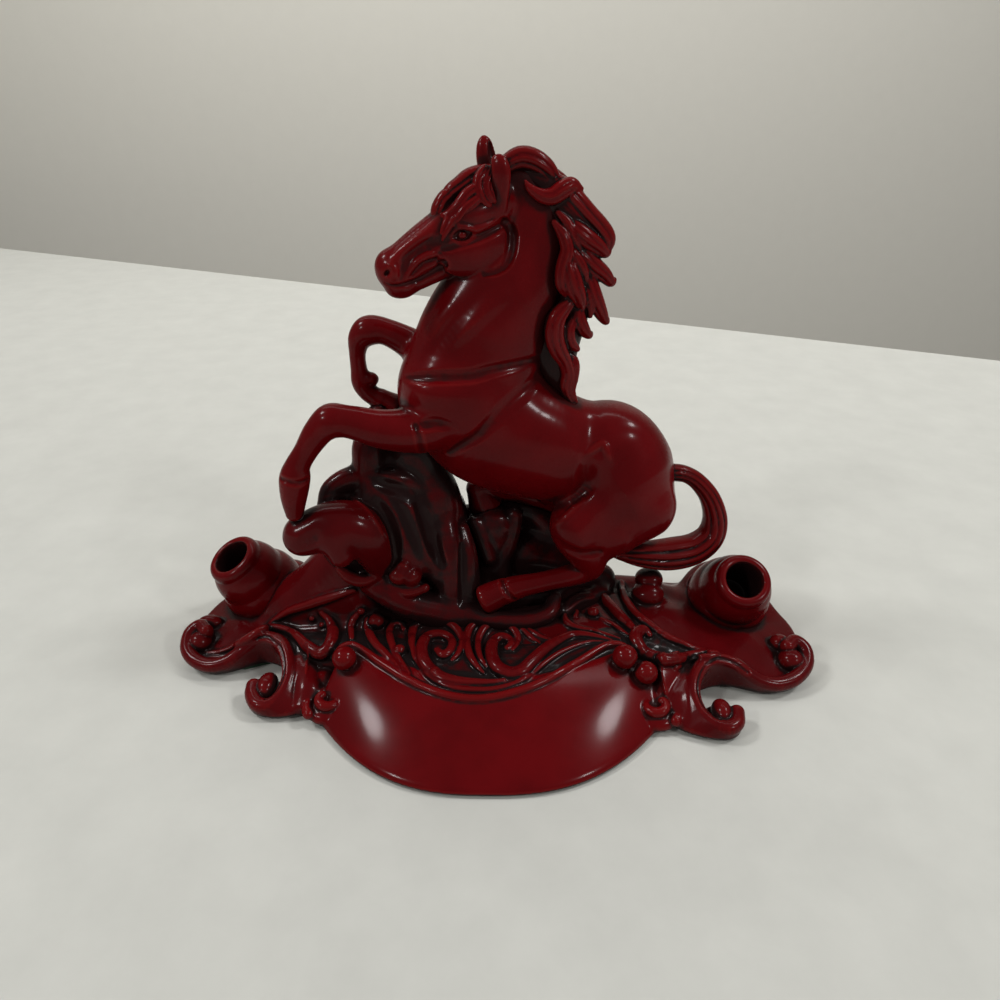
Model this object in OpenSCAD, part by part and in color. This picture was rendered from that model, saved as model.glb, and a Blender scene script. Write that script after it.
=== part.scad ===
// Desk pen stand: a rearing horse on a rock, over a scrolled base with two pen cups.
// Front of the base is toward -Y, the table is z = 0.

/* [Base] */
// Width of the base over the two wings
base_width = 204; // [184:1:236]
// Depth of the base from the cartouche to the back edge
base_depth = 92; // [86:1:110]
// Height of the plinth that carries the rock
plinth_top = 15; // [12:0.5:20]
// Thickness of the felt under the base
felt_thickness = 1; // [0.5:0.1:2]
// Distance the felt stays inside the edge of the base
felt_inset = 4; // [2:0.5:8]

/* [Pen cups] */
// Radius of the pen bore
bore_radius = 6; // [4.5:0.1:7]
// Depth of the pen bore
bore_depth = 18; // [12:0.5:21]
// Length of a cup from its foot to its mouth
cup_length = 24; // [22:0.5:30]
// Wall left around the bore at the mouth
cup_lip = 1.6; // [1.2:0.1:3]
// Lean of the left cup away from vertical
left_cup_lean = 30; // [15:1:45]
// Turn of the left cup's lean from the front toward the side
left_cup_turn = 48; // [0:1:70]
// Lean of the right cup away from vertical
right_cup_lean = 38; // [15:1:45]
// Turn of the right cup's lean from the front toward the side
right_cup_turn = 4; // [0:1:70]
// Clearance between a cup and its seat
cup_clearance = 0.2; // [0.1:0.05:0.4]

/* [Horse and rock] */
// Height of the ear tips above the plinth
figure_height = 142; // [130:1:160]
// Turn of the figure toward the viewer
figure_turn = 8; // [0:1:14]
// Side-to-side flatness of the trunk
trunk_flat = 0.76; // [0.7:0.01:0.85]
// Side-to-side flatness of the neck
neck_flat = 0.68; // [0.6:0.01:0.8]

/* [Pins] */
// Radius of the steel pins in the limbs
pin_radius = 1.5; // [1:0.1:2]
// Radius of the steel dowels under the rock
dowel_radius = 2.5; // [2:0.1:3]
// Clearance around a pin or dowel in its hole
pin_clearance = 0.15; // [0.1:0.05:0.3]

/* [Cartouche and scrolls] */
// Height of the cartouche at its upper edge
cartouche_top = 14; // [12:0.5:17]
// Radius of the rolled rim on the wings
rim_radius = 2.4; // [2:0.1:3]
// Radius of the beads beside the cartouche
bead_radius = 3.8; // [3:0.1:4.4]

/* [Hidden] */

// Scales from the laid-out sizes to the sizes asked for
sx = base_width / 204;
sy = base_depth / 92;
k = figure_height / 142;
figure_x = 15;
figure_y = 28;
layout_plinth = 15;
casting_bottom = felt_thickness;
bore_floor = cup_length - bore_depth;

// Curves and vectors

function unit(v) = v / norm(v);

function blend(a, b, c, d, t) =
    0.5 * (2 * b + (c - a) * t + (2 * a - 5 * b + 4 * c - d) * t * t
    + (3 * b - 3 * c + d - a) * t * t * t);

function spline(p, n) =
    let (m = len(p) - 1)
    [for (i = [0 : m - 1]) for (s = [0 : n - 1])
        blend(p[max(i - 1, 0)], p[i], p[i + 1], p[min(i + 2, m)], s / n), p[m]];

function spot(s) = [s[0], s[1], s[2]];

function tangent(p, i) =
    unit(spot(p[min(i + 1, len(p) - 1)]) - spot(p[max(i - 1, 0)]));

function mirrored(p) = [for (q = p) [for (i = [0 : len(q) - 1]) i == 0 ? -q[0] : q[i]]];

function on_base(q) = [for (i = [0 : len(q) - 1]) i == 0 ? q[0] * sx : i == 1 ? q[1] * sy : q[i]];

function on_figure(s) = [s[0] * k, s[1] * k, (s[2] - layout_plinth) * k];

// A round bar through stations [x, y, z, r], skinned ring by ring
module tube(path, ref, sides, flat) {
    rings = len(path);
    points = [for (i = [0 : rings - 1])
        let (t = tangent(path, i), a = unit(cross(t, ref)), b = cross(a, t))
        for (j = [0 : sides - 1])
            spot(path[i]) + path[i][3] * (cos(360 * j / sides) * a + flat * sin(360 * j / sides) * b)];
    walls = [for (i = [0 : rings - 2]) for (j = [0 : sides - 1])
        let (n = (j + 1) % sides)
        each [[i * sides + j, i * sides + n, (i + 1) * sides + n],
              [i * sides + j, (i + 1) * sides + n, (i + 1) * sides + j]]];
    caps = [[for (j = [sides - 1 : -1 : 0]) j],
            [for (j = [0 : sides - 1]) (rings - 1) * sides + j]];
    polyhedron(points, concat(walls, caps));
}

// A row of balls hulled in pairs along stations [x, y, z, r]
module chain(stations, facets) {
    for (i = [0 : len(stations) - 2])
        hull() {
            translate(spot(stations[i])) sphere(r = stations[i][3], $fn = facets);
            translate(spot(stations[i + 1])) sphere(r = stations[i + 1][3], $fn = facets);
        }
}

// One ball of the figure
module lump(s, facets = 10) {
    translate(on_figure(s)) sphere(r = s[3] * k, $fn = facets);
}

function figure_path(p, n) =
    [for (s = spline(p, n)) [each on_figure(s), s[3] * k]];

module on_plinth() {
    translate([figure_x * sx, figure_y * sy, plinth_top]) rotate([0, 0, figure_turn]) children();
}

// A straight rod between two points
module rod(p, q, r) {
    d = q - p;
    translate(p)
        rotate([0, acos(d[2] / norm(d)), atan2(d[1], d[0])])
            cylinder(r = r, h = norm(d), $fn = 16);
}

// Base outline: plan position and height of the edge, from the front middle to the back middle
FRONT_EDGE = [[0, -21, 9], [22, -17, 9.5], [40, -8, 11], [53, -5, 10]];
RIGHT_WING = [[60, -7, 9], [67, -3, 10], [75, -2, 8.5], [84, -3.5, 4.5], [95, -1, 3.5], [100, 8, 5]];
LEFT_WING = [[60, -4, 9], [67, 2, 10], [75, 5.5, 8.5], [85, 1, 4.5], [96, 3, 3.5], [100, 10, 5]];
BACK_EDGE = [[102, 18, 5.5], [101, 27, 6], [96, 36, 7], [84, 42, 8], [62, 45, 9], [30, 46, 10],
             [0, 46, 10]];
right_edge = [for (q = spline(concat(FRONT_EDGE, RIGHT_WING, BACK_EDGE), 2)) on_base(q)];
left_edge = mirrored([for (q = spline(concat(FRONT_EDGE, LEFT_WING, BACK_EDGE), 2)) on_base(q)]);
edge_loop = concat(right_edge, [for (i = [len(left_edge) - 2 : -1 : 1]) left_edge[i]]);
spine_half = 46 * sx;
spine_y = 20 * sy;

function spine_of(q) = [max(min(q[0] * 0.55, spine_half), -spine_half), spine_y];

// The skirt falls from a flat top to the edge
flat_part = 0.3;

function skirt_height(edge, t) =
    edge + (plinth_top - edge) * pow(1 - (t - flat_part) / (1 - flat_part), 1.3);

module skirt() {
    count = len(edge_loop);
    steps = [flat_part, 0.5, 0.7, 0.86, 1];
    rows = len(steps);
    upper = [for (t = steps) for (q = edge_loop)
        let (c = spine_of(q))
        [c[0] + (q[0] - c[0]) * t, c[1] + (q[1] - c[1]) * t, skirt_height(q[2], t)]];
    lower = [for (q = edge_loop) [q[0], q[1], casting_bottom]];
    walls = [for (i = [0 : rows - 1]) for (j = [0 : count - 1])
        let (n = (j + 1) % count)
        each [[i * count + j, i * count + n, (i + 1) * count + n],
              [i * count + j, (i + 1) * count + n, (i + 1) * count + j]]];
    caps = [[for (j = [count - 1 : -1 : 0]) j],
            [for (j = [0 : count - 1]) rows * count + j]];
    polyhedron(concat(upper, lower), concat(walls, caps));
}

// Bulb under the tail and ridge along the back: plan place, height over the plinth's top, radius
BULB = [[51.5, 21, 5, 6.6], [51.5, 23, -6, 7.5]];
BACK_RIDGE = [[-66, 30, -8, 5], [-52, 38, -7, 6], [-30, 40, -7, 6], [30, 40, -7, 6], [52, 38, -7, 6],
              [66, 30, -8, 5]];
bulb_clearance = 0.1;

function on_top(q, grow) = [q[0] * sx, q[1] * sy, plinth_top + q[2], q[3] + grow];

module bulb(grow) {
    chain([for (q = BULB) on_top(q, grow)], 14);
}

// Everything below a height
far = 400;

module below(z) {
    translate([0, 0, z - far / 2]) cube(far, center = true);
}

// Pen cups

function lean_of(side) = side < 0 ? left_cup_lean : right_cup_lean;

function turn_of(side) = side < 0 ? -left_cup_turn : right_cup_turn;

// Plan place of a cup's foot and of the boss under it, and how far the foot is sunk below the plinth's top
cup_spot = [80, 33];
boss_spot = [79, 30];
cup_sink = 6;

module at_cup(side) {
    translate([side * cup_spot[0] * sx, cup_spot[1] * sy, plinth_top - cup_sink])
        rotate([0, 0, turn_of(side)]) rotate([lean_of(side), 0, 0]) children();
}

cup_mouth = bore_radius + cup_lip;
cup_belly = bore_radius + 7.4;
spigot_depth = 5;
spigot_radius = 6;

// Outside of a cup as [radius, height]
function cup_side(grow) = [
    [0, -spigot_depth - grow], [spigot_radius + grow, -spigot_depth - grow],
    [spigot_radius + grow, -grow], [cup_belly - 1 + grow, -grow],
    [cup_belly + grow, cup_length * 0.2], [cup_belly + grow, cup_length * 0.42],
    [cup_belly - 0.9 + grow, cup_length * 0.58], [cup_belly - 2.2 + grow, cup_length * 0.66],
    [cup_belly - 2.4 + grow, cup_length * 0.69], [cup_belly - 3.2 + grow, cup_length * 0.78],
    [cup_belly - 4.4 + grow, cup_length * 0.83], [cup_mouth + 0.6 + grow, cup_length * 0.86],
    [cup_mouth + 0.4 + grow, cup_length * 0.95], [cup_mouth - 0.4 + grow, cup_length]];

module cup_form() {
    side = cup_side(0);
    rotate_extrude($fn = 96)
        polygon(concat(side, [[bore_radius, cup_length], [bore_radius, bore_floor], [0, bore_floor]]));
}

module cup_seat() {
    rotate_extrude($fn = 32) polygon(concat(cup_side(cup_clearance), [[0, cup_length]]));
}

module cup_boss(side) {
    hull() {
        at_cup(side) translate([0, 0, 1]) cylinder(r = cup_belly + 2.4, h = 1.5, $fn = 28);
        translate([side * boss_spot[0] * sx, boss_spot[1] * sy, casting_bottom + 1])
            cylinder(r = cup_belly + 3, h = 2, $fn = 28);
    }
}

// Rolled rim of a wing: crest [x, y, z] and the foot [x, y] below it, from the tip to the inner volute
RIGHT_RIM = [[94.5, 7.5, 8.4, 95, 8], [97.5, 10, 8.6, 97, 10], [100.4, 8, 7, 99.6, 8],
             [99.6, 3, 5, 99, 3.6],
             [95, -2, 3.8, 94.6, -1.4], [89, -4.6, 3.4, 89, -4], [83.5, -5, 4.6, 84, -4.2],
             [79, -4.4, 7, 80, -3],
             [74.4, -4, 10, 75.4, -1.4], [70, -3.4, 11, 71, -1], [65.6, -4.4, 10.8, 65, -3.4],
             [62, -8, 9, 58, -8], [60.4, -13, 6.8, 55, -14], [61.4, -18, 4.6, 56.4, -20.4],
             [65.4, -20.8, 3.4, 63.4, -22.4], [69.6, -21.4, 3.4, 69.6, -21.4],
             [71.4, -18.6, 4.4, 71, -18.8], [69.6, -16.4, 5.6, 69.6, -17]];
LEFT_RIM = [[95.5, 10.5, 8.4, 96, 11], [98.5, 13, 8.6, 98, 13], [101.2, 10.6, 7, 100.4, 10.8],
            [100.4, 5.4, 5, 99.8, 6], [96.6, 1.4, 3.8, 96.2, 2], [91, -0.6, 3.4, 91, 0],
            [85.4, 0, 4.6, 85.6, 1], [81, 2.4, 7, 81.4, 3.6], [76.4, 3.8, 10, 76.6, 6],
            [72, 3, 11, 72.4, 5.6], [67.4, 0.6, 10.8, 66.4, 2.6],
            [64.4, -4, 9, 60.4, -4], [63, -9.4, 6.8, 57.4, -10.4], [64, -14.8, 4.6, 58.8, -17],
            [67.4, -17.4, 3.4, 65.4, -18.8], [71, -15.6, 3.4, 71, -15.6], [73, -12, 4.4, 72.4, -12.2],
            [71.6, -9, 5.6, 71.4, -9.6]];

// Beads of a rim, from the station beside them
tip_bead = [-2.4, -4.6, 8.4];
volute_bead = [-2.6, -0.4, 6];
tip_station = 1;
volute_station = 16;
volute_floor = 5.4;
// Floor inside the curl at the tip: plan offset, radius and height
tip_floor = [-0.4, -3.6, 3.4, 6.6];

module rim_form(side) {
    rim = side < 0 ? LEFT_RIM : RIGHT_RIM;
    for (i = [0 : len(rim) - 2])
        hull() {
            for (q = [rim[i], rim[i + 1]]) {
                translate([side * q[0] * sx, q[1] * sy, q[2] + casting_bottom])
                    sphere(r = rim_radius, $fn = 8);
                translate([side * q[3] * sx, q[4] * sy, casting_bottom])
                    cylinder(r = rim_radius * 0.8, h = 0.6, $fn = 8);
            }
        }
    tip = rim[tip_station];
    volute = rim[volute_station];
    for (q = [[tip[0] + tip_bead[0], tip[1] + tip_bead[1], tip_bead[2]],
              [volute[0] + volute_bead[0], volute[1] + volute_bead[1], volute_bead[2]]])
        translate([side * q[0] * sx, q[1] * sy, q[2]]) sphere(r = rim_radius + 0.6, $fn = 12);
    translate([side * (volute[0] + volute_bead[0]) * sx, (volute[1] + volute_bead[1]) * sy, casting_bottom])
        scale([sx, sy, 1]) cylinder(r = volute_floor, h = rim_radius, $fn = 12);
    translate([side * (tip[0] + tip_floor[0]) * sx, (tip[1] + tip_floor[1]) * sy, casting_bottom])
        scale([sx, sy, 1]) cylinder(r = tip_floor[2], h = tip_floor[3], $fn = 12);
}

// Cartouche: a bowed panel falling from the frieze to the table, with beads and curls at its ends
panel_half = 41;
panel_flare = 10;
panel_back = -19;
panel_back_bow = 17;
panel_front = -46;
panel_front_bow = 27;

function panel_point(u, v) =
    let (x = u * (panel_half + panel_flare * v), y0 = panel_back + panel_back_bow * u * u,
        y1 = panel_front + panel_front_bow * u * u)
    [x * sx, (y0 + (y1 - y0) * v) * sy,
     casting_bottom + 1 + (cartouche_top - casting_bottom - 1) * (1 - 0.55 * v - 0.45 * v * v)];

module panel() {
    across = 20;
    down = 4;
    cols = across + 1;
    rows = down + 1;
    top = [for (j = [0 : down]) for (i = [0 : across]) panel_point(2 * i / across - 1, j / down)];
    bottom = [for (q = top) [q[0], q[1], casting_bottom]];
    m = cols * rows;
    skin = [for (j = [0 : down - 1]) for (i = [0 : across - 1])
        let (a = j * cols + i)
        each [[a, a + 1, a + cols + 1], [a, a + cols + 1, a + cols],
              [m + a + cols + 1, m + a + 1, m + a], [m + a + cols, m + a + cols + 1, m + a]]];
    ring = concat([for (i = [0 : across]) i], [for (j = [1 : down]) j * cols + across],
        [for (i = [across - 1 : -1 : 0]) down * cols + i], [for (j = [down - 1 : -1 : 1]) j * cols]);
    walls = [for (i = [0 : len(ring) - 1])
        let (a = ring[i], b = ring[(i + 1) % len(ring)])
        each [[b, a, m + a], [b, m + a, m + b]]];
    polyhedron(concat(top, bottom), concat(skin, walls));
}

CURL = [[46.5, -14.5, 7, 2.4], [51, -14, 6.4, 2.5], [53.5, -17.5, 5.6, 2.6], [51.5, -21.5, 4.8, 2.5],
        [48, -20.6, 5.2, 2.2], [48.6, -17.8, 6, 1.8]];
CURL_EYE = [50.4, -17.8, 3.4, 3.2];
PANEL_BEADS = [[41, -5.5, 0.5], [46, -10.5, -3]];
curl_right = [for (q = CURL) on_base(q)];

module cartouche_form() {
    panel();
    for (side = [-1, 1]) {
        chain(side < 0 ? mirrored(curl_right) : curl_right, 8);
        translate([side * CURL_EYE[0] * sx, CURL_EYE[1] * sy, CURL_EYE[2]])
            scale([sx, sy, 1]) sphere(r = CURL_EYE[3], $fn = 10);
        for (q = PANEL_BEADS)
            translate([side * q[0] * sx, q[1] * sy, cartouche_top + q[2]])
                sphere(r = bead_radius, $fn = 10);
    }
}

// Frieze: spirals and leaves between the cartouche and the rock
tip_up = 48;
slope_normal = [0, -sin(tip_up), cos(tip_up)];

function on_slope(c, a, b) =
    [(c[0] + a) * sx, (c[1] + b * sin(tip_up) * 0.9) * sy, c[2] + b * cos(tip_up)];

spiral_steps = 20;

function spiral(c, inner, outer, turns, start, hand, r) =
    [for (i = [0 : spiral_steps])
        let (t = i / spiral_steps, a = start + hand * 360 * turns * t, d = inner + (outer - inner) * t)
        [each on_slope(c, d * cos(a), d * sin(a)), r * (0.75 + 0.4 * t - 0.55 * t * t * t)]];

// Centre, first and last radius, turns, first angle, hand and rib radius of each spiral
SPIRALS = [[[-16, -8, 15.4], 1.2, 7.6, 1.7, 200, -1, 1.9], [[4, -7.5, 15.4], 1.2, 8.6, 1.9, -40, 1, 2],
           [[-31, -3.5, 15.6], 0.8, 5.4, 1.4, -20, -1, 1.6]];
FRIEZE_BED = [[-46, 2, 12, 4], [-30, -6, 12, 5], [-14, -9, 12, 5], [2, -9, 12, 5], [18, -7, 12, 5],
              [32, 0, 12.5, 5], [44, 6, 13, 4.5]];
LEAVES = [[[4, 0, 14, 2], [14, -5, 14.5, 3], [26, -4, 15.5, 3.2], [36, 2, 17, 2.4], [40, 8, 19, 1]],
          [[38, 20, 23, 1], [40.5, 12, 22, 2.4], [43, 3, 19, 3], [48, -4, 15.5, 3], [58, -3, 13, 2.4],
           [63, 1, 12, 1]],
          [[43.4, 20, 20.4, 1.2], [46, 14, 19, 2.2], [50, 7, 16, 2.6], [58, 3, 13.5, 2], [65, 4, 12, 0.9]],
          [[-26, 8, 18, 1.4], [-33, 2, 17.5, 2.6], [-40, 2, 17, 2.8], [-46, 7, 17, 2.2],
           [-45, 12, 17.5, 1]],
          [[-34, -5, 15, 1.6], [-42, -2, 15.5, 2.8], [-54, -1, 14, 2.8], [-63, 4, 12, 2.2],
           [-69, 3, 11, 0.9]],
          [[-40, 14, 19, 1.4], [-50, 12, 18, 2.6], [-60, 13, 15, 2.4], [-68, 10, 12, 1]],
          [[19, 7, 15.4, 1.4], [24, 3, 15.6, 2.2], [29, 5, 16, 2.2], [29, 10, 16.4, 1.7],
           [25.5, 9, 17, 1.1]]];
leaf_face = [0.02, -0.5, 0.86];
leaf_flat = 0.9;

module frieze_form() {
    chain([for (q = FRIEZE_BED) on_base(q)], 10);
    for (s = SPIRALS)
        tube(spiral(s[0], s[1], s[2], s[3], s[4], s[5], s[6]), slope_normal, 6, 1);
    for (leaf = LEAVES)
        tube([for (q = spline(leaf, 3)) on_base(q)], leaf_face, 6, leaf_flat);
}

// Saddle of the base that climbs from the left wing to the rock, in the figure's own frame
SADDLE = [[-62, 4, 37, 8.6], [-78, 6.4, 25.4, 7], [-60, 1, 20, 9], [-86, 10, 10, 7]];

module saddle() mass(SADDLE);

// Rock under the figure, in the figure's own frame: stations [x, y, z, r]
ROCK_MASSES = [
    [[-64, 0, 40, 8], [-56, 5, 24, 12], [-48, 5, 46, 9.4], [-58, 6, 57, 5]],
    [[-48, 5, 52, 8], [-37, 6, 50, 8.5], [-50, 2, 22, 10], [-34, 4, 22, 10]],
    [[-32, 12, 44, 8.5], [-34, 12, 24, 9], [-37, 6, 50, 8]],
    [[-18, 12, 30, 8], [-4, 9, 25, 8], [-32, 10, 24, 9]],
    [[-4, 9, 25, 8], [10, 6, 22, 8], [22, 4, 16, 6]],
    [[-14, 14, 35, 6.4], [-2, 14, 35, 6.6], [9, 11, 28, 7.6], [-4, 10, 22, 8]]];
ROCK_PLATE = [[-38, -12, 15.5, 3], [-14, -16.5, 15.5, 3], [6, -15, 15.5, 3], [22, -4, 15.5, 4],
              [-36, 10, 15, 6]];
ROCK_FOOT = [[-62, -6, 20, 6], [-54, -9, 21, 5], [-42, -9, 18.4, 5], [-50, 4, 18, 8]];
ROCK_NECK = [[-46, 6, 56, 7], [-44, 7, 64, 6], [-38, 7.4, 68.4, 5.6], [-33, 7, 71, 4.6]];
ROCK_SHEET = [[-39.6, 6, 68, 6.6], [-36.6, 5.6, 61, 6.4], [-33.6, 4.6, 53, 7.2], [-32.4, 3.6, 44, 7.4]];
HOOF_PILLAR = [[-55, 3.4, 60, 5.4], [-54, 4.4, 71, 4.8], [-49, 10.6, 80.4, 3.8]];
HOOF_BLOCK = [[-15.4, 6, 38, 7], [-9.4, 5, 42, 3.4], [-20.4, 4, 42, 3], [-16, 1, 19, 6]];
BOULDER = [[-74.4, -9, 48.4, 6.3], [-68, -8.6, 50.4, 7], [-61.4, -8, 50, 7.7], [-56.4, -7.6, 46, 7.6],
           [-54, -7.4, 40, 6.2], [-53.6, -7.4, 35, 4.2]];
BOULDER_LOBE = [[-75.6, -8.6, 46.8, 5], [-70, -8.6, 47.6, 5.4]];
BOULDER_NOSE = [[-66.4, -10, 51.6, 5], [-65, -12.2, 47, 4.5], [-63.8, -13.2, 42.8, 3.8]];
ROCK_FOLDS = [
    [[-53, 0, 59.6, 3.2], [-48.4, -2.2, 52, 4.4], [-45, -4.2, 42, 5], [-43.4, -5.6, 30, 5]],
    [[-47.6, 0.6, 59.6, 3.6], [-43.4, -1.6, 54, 3.4], [-39.8, -3.2, 45, 3.8], [-37.2, -4.8, 36, 3.8],
     [-35.4, -6, 26, 3.6]]];
ROCK_LIPS = [
    [[-68, -1.4, 53.6, 3], [-66, 1, 58, 3.4], [-60, 2.4, 61, 3.6], [-55, 2.2, 60, 3]],
    [[-54.6, 0.4, 60.6, 2.4], [-48, -0.4, 61.6, 2.6], [-43, 0, 60.4, 2.4], [-39, 1, 57, 2]]];
ROCK_COLUMNS = [
    [[-31.4, -0.6, 46, 3.4], [-30.8, -3.8, 39.6, 4.4], [-30.4, -6.2, 29, 4.9], [-30.2, -8, 15, 5.6]],
    [[-26, -1, 42.4, 2.2], [-25, -4, 35.6, 3.2], [-24.6, -6.4, 26, 3.7], [-24.6, -8, 15, 4.2]]];
ROCK_SKIRT = [[-56, -8, 28, 3.6], [-50, -9.8, 24.6, 4.4], [-43, -10.6, 20.4, 5], [-33, -10.6, 17, 5.2],
              [-22, -11.4, 15.4, 4.6]];
ROCK_LEDGE = [[-27, -12, 18, 2.4], [-21, -15.2, 17, 2.8], [-14, -17, 16.4, 3], [-6, -17.2, 16, 3.1],
              [0.6, -15.4, 17.4, 2.9], [3, -11.6, 20.6, 2.3]];
ROCK_BUDS = [[-46.8, -10.4, 32.6, 3.4], [-43.4, -9.8, 31.4, 3.6]];
BUD_LIP = [[-62, -9.2, 32, 2], [-57.8, -9.8, 31, 2.1], [-53, -9.2, 30.6, 1.7]];
mass_facets = 10;
bar_facets = 8;

module mass(stations) {
    hull()
        for (s = stations)
            lump(s, mass_facets);
}

module bars(paths) {
    for (path = paths)
        chain(figure_path(path, 1), bar_facets);
}

module rock_form() {
    for (stations = ROCK_MASSES)
        mass(stations);
    mass(ROCK_PLATE);
    mass(ROCK_FOOT);
    mass(HOOF_BLOCK);
    bars([ROCK_NECK, ROCK_SHEET, HOOF_PILLAR]);
    bars([BOULDER, BOULDER_LOBE, BOULDER_NOSE]);
    bars(ROCK_FOLDS);
    bars(ROCK_LIPS);
    bars(ROCK_COLUMNS);
    bars([ROCK_SKIRT, ROCK_LEDGE, BUD_LIP]);
    for (bud = ROCK_BUDS)
        lump(bud, bar_facets);
}

// Horse: stations [x, y, z, r] with the head toward -X and the near side toward -Y
TRUNK = [[-25, 0, 87.4, 18.2], [-12, 0, 77.4, 18.6], [2, 0, 70, 17], [13, 0, 67.4, 16], [21, 0, 66.2, 16.2],
         [27.4, 0, 62, 13.8], [31.6, 0, 56.4, 10.8]];
BELLY = [[-27, 0, 79.4, 11], [-21, 0, 74, 13.4], [-11, 0, 70, 14], [0, 0, 68, 13.6]];
NECK = [[-24, 0, 92, 17.6], [-19.5, 0, 103, 18.6], [-14.5, 0, 113.5, 16.8], [-9, 0, 121, 13.4],
        [-4.5, 0, 129.5, 10], [-5, 0, 138.5, 8.6], [-9, 0, 144, 6.6]];
NOSE = [[-18, -1.5, 139, 6.8], [-24, -2.6, 136.6, 6.4], [-33, -4.2, 131, 5.4], [-39, -5.2, 127, 4.7],
        [-42.2, -5.7, 125, 4.6]];
JAW = [[-18, -1.5, 131.5, 7.4], [-24, -2.6, 129.5, 5.4], [-32, -4, 124.5, 3.4], [-39.5, -5.2, 121.4, 3]];
NEAR_EAR = [[-13, -5, 142, 2.2], [-13.8, -5.8, 146.5, 2.8], [-14.8, -6, 149.6, 2], [-15.6, -6, 152, 0.7]];
FAR_EAR = [[-15.5, 2.6, 147, 2.2], [-16.4, 3, 151, 2.8], [-17.2, 3.2, 154.6, 1.9], [-17.6, 3.2, 157, 0.7]];

module flat_lump(s, flat) {
    translate(on_figure(s)) scale([1, flat, 1]) sphere(r = s[3] * k, $fn = 20);
}

module horse_form() {
    tube(figure_path(TRUNK, 2), [0, 1, 0], 20, trunk_flat);
    flat_lump(TRUNK[0], trunk_flat);
    flat_lump(TRUNK[6], trunk_flat);
    tube(figure_path(BELLY, 1), [0, 1, 0], 16, trunk_flat);
    flat_lump(BELLY[0], trunk_flat);
    tube(figure_path(NECK, 2), [0, 1, 0], 18, neck_flat);
    chain(figure_path(NOSE, 1), 12);
    chain(figure_path(JAW, 1), 12);
    chain(figure_path(NEAR_EAR, 1), 8);
    chain(figure_path(FAR_EAR, 1), 8);
    hull() {
        lump([-18, -1.5, 132, 7.6], 14);
        lump([-15, -1, 141.6, 6.4], 14);
        lump([-24, -2.6, 137, 6.2], 14);
    }
}

NEAR_FORE = [[-31, -6.6, 83, 7.6], [-38, -8.6, 80.6, 6.8], [-48, -10, 81.6, 5.7], [-57, -10.5, 84.4, 4.7],
             [-63, -10.5, 85.2, 4.5], [-66.6, -10.5, 82, 3.8], [-70.4, -10.5, 76.6, 2.8],
             [-73.6, -10.5, 70.6, 3.2], [-75.2, -10.5, 66.6, 4], [-75, -10.5, 62.4, 3.2],
             [-75.4, -10.5, 58, 3.9]];
FAR_FORE = [[-29, 7, 93, 7.5], [-38, 9.6, 99.6, 5.2], [-45, 11, 103.4, 4.2], [-51, 11.5, 105, 4.2],
            [-54.6, 11.5, 103, 3.5], [-56, 11.5, 97, 2.6], [-56, 11.5, 91, 2.6], [-54.6, 11.5, 87.4, 3.4],
            [-52, 11.5, 85.4, 2.8], [-49, 11.5, 84.6, 3.4], [-46.6, 11.5, 83.2, 4]];
NEAR_SHANK = [[8.4, -10.6, 47.6, 6.2], [8.4, -11.4, 43, 6], [12, -12, 37, 5], [14.2, -12, 32.6, 4.5],
              [11, -12, 29.8, 3.7], [0, -12, 27.4, 3], [-9, -12, 25.6, 3.2], [-13.6, -12, 24.6, 3.9],
              [-17, -12, 23, 3.8], [-20.4, -12, 21.6, 4.8]];
FAR_SHANK = [[2, 10, 56, 6.4], [4, 11, 50, 5.6], [8.6, 11.5, 45.5, 4.6], [9, 11.5, 43.4, 4.2],
             [3, 11.5, 44.6, 3.5], [-5, 11.4, 47.6, 3.3], [-11, 11.2, 50, 3.8], [-16, 11, 51.6, 3.8],
             [-19.6, 11, 50.4, 4.2], [-17.6, 10.9, 45, 5.4]];

module near_thigh() {
    hull() {
        lump([27, -4, 61, 12], 12);
        lump([31, -6, 51, 10], 12);
        lump([8, -10, 47.8, 6.4], 12);
        lump([18, -10, 55, 8], 12);
    }
    hull() {
        lump([31, -6, 51, 10], 12);
        lump([23, -9.4, 44, 7.6], 12);
        lump([8, -10.4, 47.6, 6.4], 12);
        lump([10, -11.4, 43, 6], 12);
    }
    hull() {
        lump([23, -9.4, 44, 7.6], 12);
        lump([14.6, -11.4, 37.6, 5], 12);
        lump([9, -11.4, 43, 6], 12);
    }
}

module far_thigh() {
    hull() {
        lump([26, 4, 61, 12], 12);
        lump([30, 6, 52, 9.6], 12);
        lump([3, 9.6, 56, 6.8], 12);
        lump([14, 10, 50, 7], 12);
    }
    hull() {
        lump([14, 10, 50, 7], 12);
        lump([5, 10.6, 50, 5.8], 12);
        lump([10, 11.4, 44, 4.8], 12);
    }
}

TAIL = [[38, 0, 58, 3], [44, 0, 56.6, 2.9], [50, -0.4, 54.6, 3], [56, -0.8, 48.4, 3.6],
        [58.6, -1.4, 40.6, 4.4],
        [57, -2.4, 34.4, 5.2], [51.4, -3.4, 30.8, 5.6], [43, -4.4, 30, 5.8], [34, -5.4, 31, 4.6],
        [27, -5.8, 32, 2.4], [23, -6, 32.4, 1.2]];

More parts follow.
